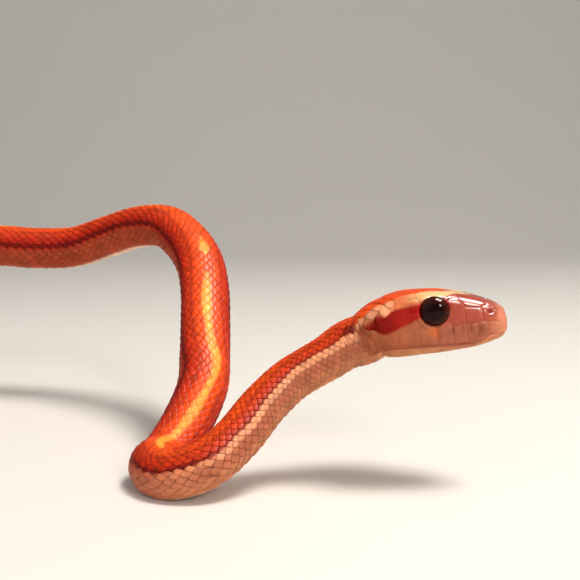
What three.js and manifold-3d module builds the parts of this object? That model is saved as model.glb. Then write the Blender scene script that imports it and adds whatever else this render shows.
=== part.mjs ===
// A young corn snake, life-size, in a still resting pose: head raised, forebody turned on the floor,
// then one high loop, and the rest of the body lying in curves behind it.
//
// Units are millimetres and +Z is up. The whole animal is one sweep. A route runs from the snout to
// the tail tip, s is the distance along it from the snout, and each cross-section is a function of s
// and of t, which runs from 0 on the middle of the back to 1 on the middle of the belly.
// The sweep is parted into lengths by thin cuts, so that each named part is a closed body.
import * as THREE from 'three';
import Module from 'manifold-3d';

const wasm = await Module();
wasm.setup();

// Driving sizes
const GAP = 0.3;
const MOUTH_GAP = 0.2;
const TONGUE_RIDGE = { half: 0.8, from: 1.5, to: 12.0, rise: 0.45, floor: -2.6 };
const HEAD_PITCH = 8.6;
const HEAD_YAW = 12;
const EYE_FROM_SNOUT = 6.5;
const EYE_ABOVE_AXIS = 1.25;
const EYE_BELOW_FRAME = 0.05;
const EYE_OFF_MIDDLE = 2.8;
const EYE_RADIUS = 1.42;
const EYE_DEPTH = 0.85;
const EYE_GAP = 0.15;
const NOSTRIL_FROM_SNOUT = 1.45;
const NOSTRIL_ABOVE_AXIS = 0.45;
const NOSTRIL_OFF_MIDDLE = 1.85;
const NOSTRIL_RADIUS = 0.28;
const NOSTRIL_DEPTH = 0.45;
const MOUTH_CORNER = 13.0;
const HEAD_LENGTH = 14.4;
const TAIL_LENGTH = 52;
const BACK_HEIGHT = 0.98;
const BELLY_DEPTH = 0.88;
const SIDE_ROUNDNESS = 0.92;
const BELLY_FLATNESS = 0.8;
const FLOOR_SINK = 0.25;
const BODY_SIDES = 16;
const SCUTE_PITCH = 2.8;
const SCUTE_PITCH_IN_BEND = 1.5;
const SCUTE_STEP = 0.053;
const SCUTE_EDGE = 0.16;
const SCUTE_SIDES = [0.6, 0.72];
const PLATE_LIFT = 0.1;
const PLATE_ROOT = 0.35;
const PLATE_SEAM = 0.07;
const PLATE_SEGMENT = 0.9;
const PLATE_DOME = [1.15, 1.2];
const PLATE_INNER = 0.5;
const PLATE_MOST_DRAWN = 0.4;
const HEAD_SIDES = 36;

// The middle of the head, between the eyes, the places on the head's straight axis that the route
// goes through, and the route behind them. A height of null is where the belly lies on the floor.
const BETWEEN_EYES = new THREE.Vector3(14.1, 89.3, 17.95);
const HEAD_AXIS = [0, 2.5, 5, 7.5, 10, 12];
const ROUTE = [
  [7.4, 90.75, 14.8], [5.6, 90.8, 13.9], [3.9, 90.6, 12.75], [2.0, 90.5, 11.65], [0.0, 90.2, 10.45],
  [-2.6, 89.0, 8.2], [-5.2, 87.2, 5.35], [-8.2, 85.9, 3.1], [-11.6, 86.8, null], [-13.4, 90.0, null],
  [-12.7, 93.6, null], [-10.9, 96.8, 4.7], [-9.5, 99.8, 8.0], [-9.5, 102.7, 10.9], [-9.7, 105.9, 14.4],
  [-10.0, 109.0, 17.4], [-10.9, 112.4, 20.4], [-12.9, 115.9, 22.8], [-15.7, 119.1, 24.45],
  [-19.6, 122.0, 24.35], [-24.0, 124.6, 23.05], [-29.1, 126.4, 21.45], [-35.0, 127.6, 21.2],
  [-41.0, 128.8, 21.4], [-48.5, 130.2, 19.3], [-56.0, 131.8, 14.6], [-62.5, 133.8, 9.2],
  [-69.5, 137.3, 4.6], [-78.0, 142.0, null], [-88.5, 146.0, null], [-99.0, 143.6, null],
  [-105.0, 135.0, null], [-103.5, 124.0, null], [-97.5, 115.0, null], [-93.5, 105.0, null],
  [-95.0, 94.5, null], [-103.0, 87.6, null], [-113.5, 88.0, null], [-121.0, 95.5, null],
  [-122.5, 106.5, null], [-120.0, 117.5, null], [-118.0, 128.5, null], [-120.0, 139.5, null],
  [-127.5, 147.5, null], [-137.5, 149.0, null],
];

// Where the back points, by distance from the snout. It leans to +X where the loop leaves the floor,
// and follows the head's own up direction over the neck.
const BACK_LEAN = [[0, 0], [36, 0], [48, 0.5], [56, 0.48], [60, 0.17], [64, 0.05], [76, 0], [400, 0]];
const NECK_TURN = [11, 16];

// Half width of the body by distance from the snout, and by distance from the tail tip.
const BODY_WIDTH = [
  [14, 2.85], [17, 2.58], [24, 2.42], [34, 2.5], [48, 2.66], [64, 2.82], [80, 2.84], [110, 2.98], [160, 3.2],
  [215, 3.18], [255, 2.92],
];
const REAR_WIDTH = [[62, 2.65], [48, 2.3], [36, 1.85], [24, 1.35], [12, 0.8], [4, 0.45], [0, 0.22]];

// The same for setting the floor height of the route's points before its length is known, with how
// much longer the curve is than the straight lines between them.
const RESTING_WIDTH = [...BODY_WIDTH, [290, 2.5], [340, 0.45]];
const CURVE_STRETCH = 1.08;

// Head stations: distance from the snout, then heights and half widths from the head's axis for the
// crown, the brow edge, the cheek, the upper lip, the jaw edge and the throat.
const station = (s, crown, brow, cheek, lip, jaw, throat) => ({ s, crown, brow, cheek, lip, jaw, throat });
const HEAD_STATIONS = [
  station(0.0, -0.75, [0.0, -0.75], [0.0, -0.75], [0.0, -0.75], [0.0, -0.75], -0.75),
  station(0.12, 0.1, [0.42, -0.05], [0.72, -0.7], [0.66, -1.45], [0.3, -1.55], -1.6),
  station(0.45, 0.6, [0.82, 0.38], [1.25, -0.5], [1.22, -1.72], [0.7, -1.95], -2.1),
  station(1.0, 1.02, [1.18, 0.8], [1.68, -0.3], [1.72, -1.8], [1.2, -2.15], -2.4),
  station(2.0, 1.55, [1.55, 1.3], [2.08, 0.0], [2.25, -1.98], [1.7, -2.4], -2.62),
  station(3.4, 2.12, [1.9, 1.8], [2.36, 0.1], [2.72, -2.25], [2.1, -2.62], -2.78),
  station(5.0, 2.62, [2.38, 2.28], [2.72, 0.2], [3.12, -2.18], [2.5, -2.66], -2.86),
  station(6.6, 2.94, [2.86, 2.5], [3.14, 0.3], [3.5, -2.02], [2.85, -2.68], -2.92),
  station(8.6, 3.18, [3.0, 2.55], [3.72, 0.3], [3.92, -1.82], [3.2, -2.7], -3.0),
  station(10.4, 3.16, [2.95, 2.45], [3.98, 0.2], [4.12, -1.74], [3.4, -2.74], -3.08),
  station(12.2, 2.74, [2.6, 2.1], [3.72, 0.1], [3.86, -1.9], [3.15, -2.75], -3.05),
  station(14.2, 2.0, [2.0, 1.6], [2.85, 0.0], [2.95, -1.6], [2.4, -2.35], -2.7),
];
const SECTION_T = [0, 0.22, 0.4, 0.55, 0.64, 0.78, 1];
const HEAD_BLEND = [12.4, 17.5];

// The lower lip is drawn in under the upper one, from the snout to the mouth corner.
const LIP_TUCK = 0.3;
const TUCK_PLACE = 0.3;
const TUCK_FROM = [0, 1.2];
const TUCK_TO = [11.5, 13.5];

// The lower jaw's region: the mouth line by distance from the snout and height from the head's axis.
const MOUTH_LINE = [
  [-1.0, -1.82], [0.8, -1.82], [1.6, -1.75], [2.2, -2.02], [2.9, -2.3], [3.9, -2.26], [5.3, -2.16],
  [7.3, -1.96], [9.4, -1.76], [11.2, -1.8], [MOUTH_CORNER, -2.06],
];
const JAW_REAR = [[13.9, -3.6], [14.1, -6.0]];
const JAW_FRONT = [-1.0, -6.0];
const JAW_BLOCK_HALF = 6;
const JAW_CORNER_EASE = 12;

// Lengths of the body: name, where each ends, and its colour.
const CUTS = [
  ['neck', 27], ['front_bend', 42], ['loop_rise', 60], ['loop_top', 80], ['loop_rear', 104],
  ['body_drop', 134], ['midbody_front', 158], ['midbody_rear', 182], ['hindbody_front', 208],
  ['hindbody_middle', 234], ['hindbody_rear', 262],
];

// Head shields as outlines of [s, t] in turn. A shield of a pair is on one side of the head and is
// mirrored; the others cross the middle, with a negative t on the right.
const PAIRED_SHIELDS = {
  internasal: [[0.62, 0.01], [0.6, 0.2], [1.1, 0.27], [1.75, 0.2], [1.7, 0.01]],
  prefrontal: [[1.75, 0.01], [1.8, 0.2], [2.3, 0.3], [3.5, 0.3], [4.2, 0.19], [3.75, 0.11], [3.65, 0.01]],
  supraocular: [
    [4.3, 0.2], [3.85, 0.115], [5.3, 0.1], [6.8, 0.07], [7.9, 0.1], [8.2, 0.19], [7.0, 0.225], [5.4, 0.225],
  ],
  parietal: [
    [7.6, 0.01], [6.9, 0.06], [7.95, 0.1], [8.3, 0.19], [9.5, 0.2], [10.9, 0.15], [11.5, 0.06], [11.2, 0.01],
  ],
  nasal: [[0.7, 0.3], [0.85, 0.42], [2.0, 0.42], [2.2, 0.31], [1.3, 0.28]],
  loreal: [[2.3, 0.32], [2.15, 0.42], [3.7, 0.43], [3.7, 0.32]],
  preocular: [[3.8, 0.31], [3.8, 0.43], [4.75, 0.44], [4.9, 0.35], [4.75, 0.25], [4.3, 0.22]],
  upper_postocular: [[8.2, 0.23], [8.1, 0.33], [9.0, 0.33], [9.1, 0.23]],
  lower_postocular: [[8.1, 0.34], [7.9, 0.43], [8.9, 0.43], [9.0, 0.34]],
};
const CROSSING_SHIELDS = {
  frontal: [[3.7, -0.1], [3.7, 0.1], [5.3, 0.085], [6.8, 0.055], [7.55, 0], [6.8, -0.055], [5.3, -0.085]],
};
const ROSTRAL = [[0.6, 0], [0.5, 0.15], [0.45, 0.3], [0.6, 0.48], [0.5, 0.56], [0.14, 0.7], [0.1, 1]];
const TEMPORALS = [
  { s: [9.15, 10.3], t: [0.23, 0.33, 0.44] },
  { s: [10.35, 11.4], t: [0.2, 0.28, 0.36, 0.44] },
  { s: [11.45, 12.3], t: [0.17, 0.26, 0.35, 0.44] },
];
const UPPER_LABIALS = [0.72, 1.75, 2.75, 3.8, 5.05, 6.5, 8.1, 10.1, 12.4];
const UPPER_LABIAL_T = [0.445, 0.535];
const LOWER_LABIALS = [1.1, 1.9, 2.8, 3.8, 5.0, 6.5, 8.2, 10.0, 12.0];
const LOWER_LABIAL_T = [0.66, 0.74];
const CHIN_SHIELDS = [[1.9, 4.3], [4.5, 7.0]];
const CHIN_SHIELD_T = [0.8, 0.98];

const ORANGE = 0xd8622f;
const JAW_TAN = 0xd9a58a;
const EYE_BLACK = 0x160c0a;
const RED_BROWN = 0xa83c22;

// Smooth value at x through [position, value] knots, with three-point slopes.
function smooth(knots, x) {
  const last = knots.length - 1;
  if (x <= knots[0][0]) return knots[0][1];
  if (x >= knots[last][0]) return knots[last][1];
  let i = 0;
  while (x > knots[i + 1][0]) i += 1;
  const slope = (k) => {
    const a = knots[Math.max(k - 1, 0)];
    const b = knots[Math.min(k + 1, last)];
    return (b[1] - a[1]) / (b[0] - a[0]);
  };
  const [x0, y0] = knots[i];
  const [x1, y1] = knots[i + 1];
  const h = x1 - x0;
  const u = (x - x0) / h;
  const u2 = u * u;
  const u3 = u2 * u;
  return (2 * u3 - 3 * u2 + 1) * y0 + (u3 - 2 * u2 + u) * h * slope(i)
    + (3 * u2 - 2 * u3) * y1 + (u3 - u2) * h * slope(i + 1);
}

const ease = (a, b, x) => {
  const u = Math.min(Math.max((x - a) / (b - a), 0), 1);
  return u * u * (3 - 2 * u);
};

// The head's own axes: forward along the snout, up through the crown, and to the animal's left.
function headAxes() {
  const pitch = THREE.MathUtils.degToRad(HEAD_PITCH);
  const yaw = THREE.MathUtils.degToRad(HEAD_YAW);
  const forward = new THREE.Vector3(
    Math.cos(pitch) * Math.cos(yaw), -Math.cos(pitch) * Math.sin(yaw), Math.sin(pitch));
  const up = new THREE.Vector3(0, 0, 1).addScaledVector(forward, -forward.z).normalize();
  return { forward, up, left: new THREE.Vector3().crossVectors(up, forward) };
}

const HEAD = headAxes();

// A point in the head's frame: s back from the snout, v to the left, w up from the head's axis.
function headPoint(s, v, w) {
  return BETWEEN_EYES.clone()
    .addScaledVector(HEAD.forward, EYE_FROM_SNOUT - s)
    .addScaledVector(HEAD.left, v)
    .addScaledVector(HEAD.up, w - EYE_ABOVE_AXIS);
}

// The route as one smooth curve. Where the belly lies down, the height follows the body's depth.
function makeRoute() {
  const points = HEAD_AXIS.map((s) => headPoint(s, 0, 0));
  let travelled = HEAD_AXIS[HEAD_AXIS.length - 1];
  for (const [x, y, z] of ROUTE) {
    const before = points[points.length - 1];
    travelled += Math.hypot(x - before.x, y - before.y);
    const lying = BELLY_DEPTH * smooth(RESTING_WIDTH, travelled * CURVE_STRETCH) - FLOOR_SINK;
    points.push(new THREE.Vector3(x, y, z ?? lying));
  }
  const curve = new THREE.CatmullRomCurve3(points, false, 'centripetal');
  curve.arcLengthDivisions = 4000;
  return curve;
}

const route = makeRoute();
const LENGTH = route.getLength();
const WIDTH = [...BODY_WIDTH, ...REAR_WIDTH.map(([back, half]) => [LENGTH - back, half])];

// The animal's own axes at distance s: forward towards the head, up through the back, and left.
function axesAt(s) {
  const u = Math.min(Math.max(s / LENGTH, 0), 1);
  const centre = route.getPointAt(u);
  const forward = route.getTangentAt(u).negate();
  const up = new THREE.Vector3(smooth(BACK_LEAN, s), 0, 1);
  up.lerp(HEAD.up, 1 - ease(...NECK_TURN, s));
  up.addScaledVector(forward, -up.dot(forward)).normalize();
  return { centre, up, left: new THREE.Vector3().crossVectors(up, forward) };
}

// Body section: round over the back and flatter under the belly.
function bodySection(s, t) {
  const half = smooth(WIDTH, s);
  const angle = Math.PI * t;
  const rise = Math.cos(angle);
  const across = Math.pow(Math.max(Math.sin(angle), 0), SIDE_ROUNDNESS);
  const height = rise > 0 ? BACK_HEIGHT * rise : -BELLY_DEPTH * Math.pow(-rise, BELLY_FLATNESS);
  return [half * across, half * height];
}

// Head section: a smooth line over the crown, brow, cheek and lips to the throat.
function headSection(s, t) {
  const at = (pick) => smooth(HEAD_STATIONS.map((station) => [station.s, pick(station)]), s);
  const tuck = LIP_TUCK * ease(...TUCK_FROM, s) * (1 - ease(...TUCK_TO, s));
  const lip = [at((k) => k.lip[0]), at((k) => k.lip[1])];
  const jaw = [at((k) => k.jaw[0]), at((k) => k.jaw[1])];
  const knots = [
    [0, at((k) => k.crown)],
    [at((k) => k.brow[0]), at((k) => k.brow[1])],
    [at((k) => k.cheek[0]), at((k) => k.cheek[1])],
    lip,
    [lip[0] - tuck, THREE.MathUtils.lerp(lip[1], jaw[1], TUCK_PLACE)],
    jaw,
    [0, at((k) => k.throat)],
  ];
  const mirror = (axis, sign) => [
    [-SECTION_T[1], sign * knots[1][axis]],
    ...knots.map((knot, i) => [SECTION_T[i], knot[axis]]),
    [2 - SECTION_T[5], sign * knots[5][axis]],
  ];
  return [Math.max(smooth(mirror(0, -1), t), 0), smooth(mirror(1, 1), t)];
}

// A point of the skin at s and t, on side +1 (left) or -1 (right), raised by lift along the section.
function skinPoint(s, t, side, lift = 0, axes = axesAt(s)) {
  const { up, left } = axes;
  const centre = axes.centre.clone();
  const blend = ease(...HEAD_BLEND, s);
  let [v, w] = bodySection(Math.max(s, BODY_WIDTH[0][0]), t);
  if (blend < 1) {
    const [headV, headW] = headSection(s, t);
    v = THREE.MathUtils.lerp(headV, v, blend);
    w = THREE.MathUtils.lerp(headW, w, blend);
  }
  const reach = Math.hypot(v, w) || 1;
  const grow = 1 + lift / reach;
  const point = centre.addScaledVector(left, side * v * grow).addScaledVector(up, w * grow);
  point.z = Math.max(point.z, 0);
  return point;
}

// A closed tube through rings of skin points, each ring raised under the belly by its own step.
// An end is closed by one point in its middle.
function tube(rings, sides) {
  const positions = [];
  const index = [];
  const push = (point) => positions.push(point.x, point.y, point.z);
  for (const [s, step] of rings) {
    const axes = axesAt(s);
    for (let k = 0; k < sides; k += 1) {
      const turn = 2 * k / sides;
      const side = turn <= 1 ? 1 : -1;
      const t = turn <= 1 ? turn : 2 - turn;
      push(skinPoint(s, t, side, step * ease(...SCUTE_SIDES, t), axes));
    }
  }
  const middle = (row) => {
    const centre = new THREE.Vector3();
    for (let k = 0; k < sides; k += 1) {
      centre.add(new THREE.Vector3().fromArray(positions, 3 * (row * sides + k)));
    }
    return centre.divideScalar(sides);
  };
  const last = rings.length - 1;
  const frontCentre = rings.length * sides;
  push(middle(0));
  push(middle(last));
  for (let row = 0; row < last; row += 1) {
    for (let k = 0; k < sides; k += 1) {
      const next = (k + 1) % sides;
      const a = row * sides + k;
      const b = row * sides + next;
      index.push(a, b, a + sides, b, b + sides, a + sides);
    }
  }
  for (let k = 0; k < sides; k += 1) {
    const next = (k + 1) % sides;
    index.push(frontCentre, next, k);
    index.push(frontCentre + 1, last * sides + k, last * sides + next);
  }
  return solid(positions, index);
}

function solid(positions, index) {
  const geometry = new THREE.BufferGeometry();
  geometry.setAttribute('position', new THREE.Float32BufferAttribute(positions, 3));
  geometry.setIndex(index);
  return geometry;
}

function spread(from, to, step) {
  const count = Math.max(Math.round((to - from) / step), 1);
  return Array.from({ length: count + 1 }, (_, i) => from + (to - from) * i / count);
}

// Boolean work: a closed geometry as a solid, and back, keeping only the largest closed body.
function toSolid(geometry) {
  const vertProperties = new Float32Array(geometry.attributes.position.array);
  const triVerts = new Uint32Array(geometry.index.array);
  return new wasm.Manifold(new wasm.Mesh({ numProp: 3, vertProperties, triVerts }));
}

function toGeometry(body) {
  const pieces = body.decompose().sort((a, b) => Math.abs(b.volume()) - Math.abs(a.volume()));
  const mesh = pieces[0].getMesh();
  return solid(Array.from(mesh.vertProperties), Array.from(mesh.triVerts));
}

// A ball stretched by radii along the head's axes and set at s, v, w in the head's frame.
function headBall(s, v, w, radii, detail) {
  const ball = new THREE.IcosahedronGeometry(1, detail);
  const basis = new THREE.Matrix4().makeBasis(
    HEAD.forward.clone().multiplyScalar(radii[0]),
    HEAD.left.clone().multiplyScalar(radii[1]),
    HEAD.up.clone().multiplyScalar(radii[2]));
  basis.setPosition(headPoint(s, v, w));
  ball.applyMatrix4(basis);
  return welded(ball);
}

function welded(geometry) {
  const keys = new Map();
  const positions = [];
  const index = [];
  const source = geometry.attributes.position;
  const order = geometry.index ? Array.from(geometry.index.array) : [...Array(source.count).keys()];
  for (const i of order) {
    const point = [source.getX(i), source.getY(i), source.getZ(i)];
    const key = point.map((value) => Math.round(value * 1e4)).join();
    if (!keys.has(key)) {
      keys.set(key, positions.length / 3);
      positions.push(...point);
    }
    index.push(keys.get(key));
  }
  return solid(positions, index);
}

// A raised plate over an outline of [s, t] points, with a root below the skin. The outline is drawn in
// by half a seam, its long edges are divided, and one inner ring keeps the top on the head's curve.
function plate(outline, side, pole = false) {
  const at = ([s, t], lift) => skinPoint(s, Math.abs(t), t < 0 ? -side : side, lift);
  const mean = (axis) => outline.reduce((sum, point) => sum + point[axis], 0) / outline.length;
  const centre = pole ? [0, 0] : [mean(0), mean(1)];
  const toCentre = ([s, t], share) => [
    THREE.MathUtils.lerp(s, centre[0], share),
    pole ? t : THREE.MathUtils.lerp(t, centre[1], share),
  ];
  const edge = [];
  outline.forEach((from, i) => {
    const to = outline[(i + 1) % outline.length];
    const count = Math.max(Math.round(at(from, 0).distanceTo(at(to, 0)) / PLATE_SEGMENT), 1);
    for (let k = 0; k < count; k += 1) {
      edge.push([
        THREE.MathUtils.lerp(from[0], to[0], k / count),
        THREE.MathUtils.lerp(from[1], to[1], k / count),
      ]);
    }
  });
  const rim = edge.map((point) => {
    const reach = at(point, 0).distanceTo(at(centre, 0));
    return toCentre(point, Math.min(PLATE_SEAM / reach, PLATE_MOST_DRAWN));
  });
  const inner = rim.map((point) => toCentre(point, PLATE_INNER));
  const count = rim.length;
  const positions = [
    ...rim.flatMap((point) => at(point, -PLATE_ROOT).toArray()),
    ...rim.flatMap((point) => at(point, PLATE_LIFT).toArray()),
    ...inner.flatMap((point) => at(point, PLATE_LIFT * PLATE_DOME[0]).toArray()),
    ...at(centre, PLATE_LIFT * PLATE_DOME[1]).toArray(),
    ...at(centre, -PLATE_ROOT).toArray(),
  ];
  const index = [];
  for (let k = 0; k < count; k += 1) {
    const next = (k + 1) % count;
    for (const low of [0, count]) {
      index.push(low + k, low + next, low + count + k);
      index.push(low + next, low + count + next, low + count + k);
    }
    index.push(2 * count + k, 2 * count + next, 3 * count);
    index.push(next, k, 3 * count + 1);
  }
  const body = toSolid(solid(positions, index));
  return body.volume() > 0 ? body : toSolid(solid(positions, index.reverse()));
}

const strip = (s0, s1, t0, t1) => [[s0, t0], [s0, t1], [s1, t1], [s1, t0]];

const rows = (edges, [t0, t1]) => edges.slice(1).map((s1, i) => strip(edges[i], s1, t0, t1));

function upperPlates() {
  const paired = [...Object.values(PAIRED_SHIELDS), ...rows(UPPER_LABIALS, UPPER_LABIAL_T)];
  for (const { s, t } of TEMPORALS) {
    t.slice(1).forEach((t1, i) => paired.push(strip(...s, t[i], t1)));
  }
  const plates = paired.flatMap((outline) => [plate(outline, 1), plate(outline, -1)]);
  for (const outline of Object.values(CROSSING_SHIELDS)) plates.push(plate(outline, 1));
  const left = ROSTRAL.slice(1, -1);
  const mirrored = left.map(([s, t]) => [s, -t]).reverse();
  plates.push(plate([ROSTRAL[0], ...left, ROSTRAL[ROSTRAL.length - 1], ...mirrored], 1, true));
  return plates;
}

function lowerPlates() {
  const outlines = rows(LOWER_LABIALS, LOWER_LABIAL_T);
  for (const [s0, s1] of CHIN_SHIELDS) outlines.push(strip(s0, s1, ...CHIN_SHIELD_T));
  return outlines.flatMap((outline) => [plate(outline, 1), plate(outline, -1)]);
}

// A prism across the head over an outline of [s, height] points, out to half on both sides.
function headPrism(outline, half) {
  const shape = new THREE.Shape(outline.map(([s, w]) => new THREE.Vector2(s, w)));
  const prism = new THREE.ExtrudeGeometry(shape, { depth: 2 * half, bevelEnabled: false, steps: 1 });
  prism.translate(0, 0, -half);
  const basis = new THREE.Matrix4().makeBasis(HEAD.forward.clone().negate(), HEAD.up, HEAD.left);
  basis.setPosition(headPoint(0, 0, 0));
  prism.applyMatrix4(basis);
  return toSolid(welded(prism));
}

// The block of space under the mouth line, moved by shift, with a ridge along the middle that closes
// the view through the mouth.
function jawBlock(shift) {
  const under = [...JAW_REAR.map(([s, w]) => [s + shift, w]), JAW_FRONT];
  const line = MOUTH_LINE.map(([s, w]) => [s + shift * ease(JAW_CORNER_EASE, MOUTH_CORNER, s), w + shift]);
  const { from, to, rise, floor, half } = TONGUE_RIDGE;
  const crest = line.filter(([s]) => s > from && s < to).map(([s, w]) => [s, w + rise]);
  const ridge = [...crest, [to + shift, floor], [from - shift, floor]];
  return headPrism([...line, ...under], JAW_BLOCK_HALF).add(headPrism(ridge, half + shift));
}

const SNOUT_RINGS = [0.03, 0.12, 0.28, 0.5, 0.75, 1.05, 1.4, 1.8, 2.25];
const HEAD_RINGS = [...SNOUT_RINGS, ...spread(2.75, HEAD_LENGTH - GAP / 2, 0.75)].map((s) => [s, 0]);

function makeHead() {
  let upper = toSolid(tube(HEAD_RINGS, HEAD_SIDES));
  for (const shield of upperPlates()) upper = upper.add(shield);
  upper = upper.subtract(jawBlock(MOUTH_GAP / 2));
  for (const side of [1, -1]) {
    const socket = [EYE_RADIUS + EYE_GAP, EYE_DEPTH + EYE_GAP, EYE_RADIUS + EYE_GAP];
    upper = upper.subtract(toSolid(
      headBall(EYE_FROM_SNOUT, side * EYE_OFF_MIDDLE, EYE_ABOVE_AXIS - EYE_BELOW_FRAME, socket, 3)));
    const nostril = [NOSTRIL_RADIUS, NOSTRIL_DEPTH, NOSTRIL_RADIUS];
    upper = upper.subtract(toSolid(
      headBall(NOSTRIL_FROM_SNOUT, side * NOSTRIL_OFF_MIDDLE, NOSTRIL_ABOVE_AXIS, nostril, 1)));
  }
  return toGeometry(upper);
}

function makeLowerJaw() {
  let whole = toSolid(tube(HEAD_RINGS, HEAD_SIDES));
  for (const shield of lowerPlates()) whole = whole.add(shield);
  return toGeometry(whole.intersect(jawBlock(-MOUTH_GAP / 2)));
}

function makeEye(side) {
  const radii = [EYE_RADIUS, EYE_DEPTH, EYE_RADIUS];
  return headBall(EYE_FROM_SNOUT, side * EYE_OFF_MIDDLE, EYE_ABOVE_AXIS - EYE_BELOW_FRAME, radii, 3);
}

// A length of the body. Each belly scute rises towards the tail and ends in a step.
function makeLength(from, to, pitch = SCUTE_PITCH) {
  const edges = spread(from + GAP / 2, to - GAP / 2, pitch);
  const rings = edges.slice(0, -1).flatMap((s, i) => {
    return [[s, 0], [edges[i + 1] - SCUTE_EDGE, SCUTE_STEP * smooth(WIDTH, s)]];
  });
  rings.push([edges[edges.length - 1], 0]);
  return tube(rings, BODY_SIDES);
}

const snake = new THREE.Group();

function add(name, geometry, color, roughness) {
  const mesh = new THREE.Mesh(geometry, new THREE.MeshStandardMaterial({ color, roughness, metalness: 0 }));
  mesh.name = name;
  snake.add(mesh);
}

add('head', makeHead(), RED_BROWN, 0.45);
add('lower_jaw', makeLowerJaw(), JAW_TAN, 0.5);
add('eye_left', makeEye(1), EYE_BLACK, 0.1);
add('eye_right', makeEye(-1), EYE_BLACK, 0.1);
let start = HEAD_LENGTH;
for (const [name, end] of CUTS) {
  const pitch = name === 'front_bend' ? SCUTE_PITCH_IN_BEND : SCUTE_PITCH;
  add(name, makeLength(start, end, pitch), ORANGE, 0.45);
  start = end;
}
add('vent_length', makeLength(start, LENGTH - TAIL_LENGTH), ORANGE, 0.45);
add('tail', makeLength(LENGTH - TAIL_LENGTH, LENGTH), ORANGE, 0.45);

// The origin is set under the middle of the model, at floor level.
snake.updateMatrixWorld(true);
const box = new THREE.Box3().setFromObject(snake, true);
const middleOfBox = box.getCenter(new THREE.Vector3());
snake.position.set(-middleOfBox.x, -middleOfBox.y, -box.min.z);
snake.updateMatrixWorld(true);

export default snake;
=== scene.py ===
"""Looks of a young corn snake, built over its solid model.

The skin, the scales and the belly scutes are all made from one description of the animal, in
millimetres: a route from the snout to the tail tip, and a cross-section at each distance s along it.
A place on the skin is given by s and by turn, which is 0 on the middle of the back, +1 or -1 on the
middle of the belly, positive on the animal's left and negative on its right. A turn without its sign
is called t.
"""

import logging
import math
from dataclasses import dataclass, field
from enum import Enum

import bpy
import numpy as np
from mathutils import Matrix, Vector


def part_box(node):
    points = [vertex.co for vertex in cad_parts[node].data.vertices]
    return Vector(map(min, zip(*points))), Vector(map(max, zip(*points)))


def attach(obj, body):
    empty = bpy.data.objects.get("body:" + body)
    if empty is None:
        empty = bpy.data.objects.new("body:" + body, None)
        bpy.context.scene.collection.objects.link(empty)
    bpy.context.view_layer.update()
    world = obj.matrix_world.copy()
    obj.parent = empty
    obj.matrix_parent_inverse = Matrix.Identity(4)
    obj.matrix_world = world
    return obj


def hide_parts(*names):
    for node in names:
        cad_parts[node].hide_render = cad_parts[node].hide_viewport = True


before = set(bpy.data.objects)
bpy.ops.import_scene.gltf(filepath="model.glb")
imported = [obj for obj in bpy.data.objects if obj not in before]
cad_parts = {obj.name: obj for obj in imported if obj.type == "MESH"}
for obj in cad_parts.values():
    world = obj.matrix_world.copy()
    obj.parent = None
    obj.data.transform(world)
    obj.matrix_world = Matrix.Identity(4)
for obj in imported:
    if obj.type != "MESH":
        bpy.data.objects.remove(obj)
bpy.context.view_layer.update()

Array = np.ndarray
Material = bpy.types.Material
Object = bpy.types.Object
Socket = bpy.types.NodeSocket
Tree = bpy.types.NodeTree
MM = 0.001
SEED = 7
FAR = 9.0  # millimetres: further than any distance that the relief looks at
log = logging.getLogger("snake")


class Slot(Enum):
    """Names of the record's material slots."""

    SKIN = "skin"
    EYE = "eye"


def hermite(u: Array, h: Array, y0: Array, y1: Array, m0: Array, m1: Array) -> Array:
    """Cubic between two values with given end slopes.

    Args:
        u: Share of the way across, 0 to 1.
        h: Width of the interval.
        y0: Value at the start.
        y1: Value at the end.
        m0: Slope at the start.
        m1: Slope at the end.

    Returns:
        The value at u.
    """
    u2, u3 = u * u, u * u * u
    from_start = (2 * u3 - 3 * u2 + 1) * y0 + (u3 - 2 * u2 + u) * h * m0
    return from_start + (3 * u2 - 2 * u3) * y1 + (u3 - u2) * h * m1


def smooth(knots: tuple, x: Array) -> Array:
    """Smooth value through knots with three-point slopes, constant past both ends.

    Args:
        knots: Rows of position and value, with positions rising.
        x: Where to read the line.

    Returns:
        The value at each x.
    """
    knots = np.asarray(knots, float)
    px, py = knots[:, 0], knots[:, 1]
    x = np.clip(np.asarray(x, float), px[0], px[-1])
    lo = np.maximum(np.arange(len(px)) - 1, 0)
    hi = np.minimum(np.arange(len(px)) + 1, len(px) - 1)
    slope = (py[hi] - py[lo]) / (px[hi] - px[lo])
    i = np.clip(np.searchsorted(px, x, side="right") - 1, 0, len(px) - 2)
    h = px[i + 1] - px[i]
    return hermite((x - px[i]) / h, h, py[i], py[i + 1], slope[i], slope[i + 1])


def ease(a: Array, b: Array, x: Array) -> Array:
    """Soft step from 0 at a to 1 at b.

    Args:
        a: Where the step starts.
        b: Where the step ends.
        x: Where to read it.

    Returns:
        The step's value, from 0 to 1.
    """
    u = np.clip((np.asarray(x, float) - a) / (b - a), 0, 1)
    return u * u * (3 - 2 * u)


def window(a: Array, b: Array, soft: float, x: Array) -> Array:
    """Soft band that is 1 between a and b and 0 outside.

    Args:
        a: Lower edge.
        b: Upper edge.
        soft: Width of each soft edge.
        x: Where to read it.

    Returns:
        The band's value, from 0 to 1.
    """
    return ease(a - soft / 2, a + soft / 2, x) * (1 - ease(b - soft / 2, b + soft / 2, x))


def bump(x: Array, width: float) -> Array:
    """Round bump of height 1 at 0 that falls to about a third at the given width."""
    return np.exp(-((x / width) ** 2))


def unit(v: Array) -> Array:
    """Vectors, along the last axis, scaled to length 1."""
    return v / np.maximum(np.linalg.norm(v, axis=-1, keepdims=True), 1e-9)


def folded(turn: Array) -> Array:
    """Turns brought back to between -1 and 1, on across the belly to the other side."""
    return (turn + 1) % 2 - 1


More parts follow.
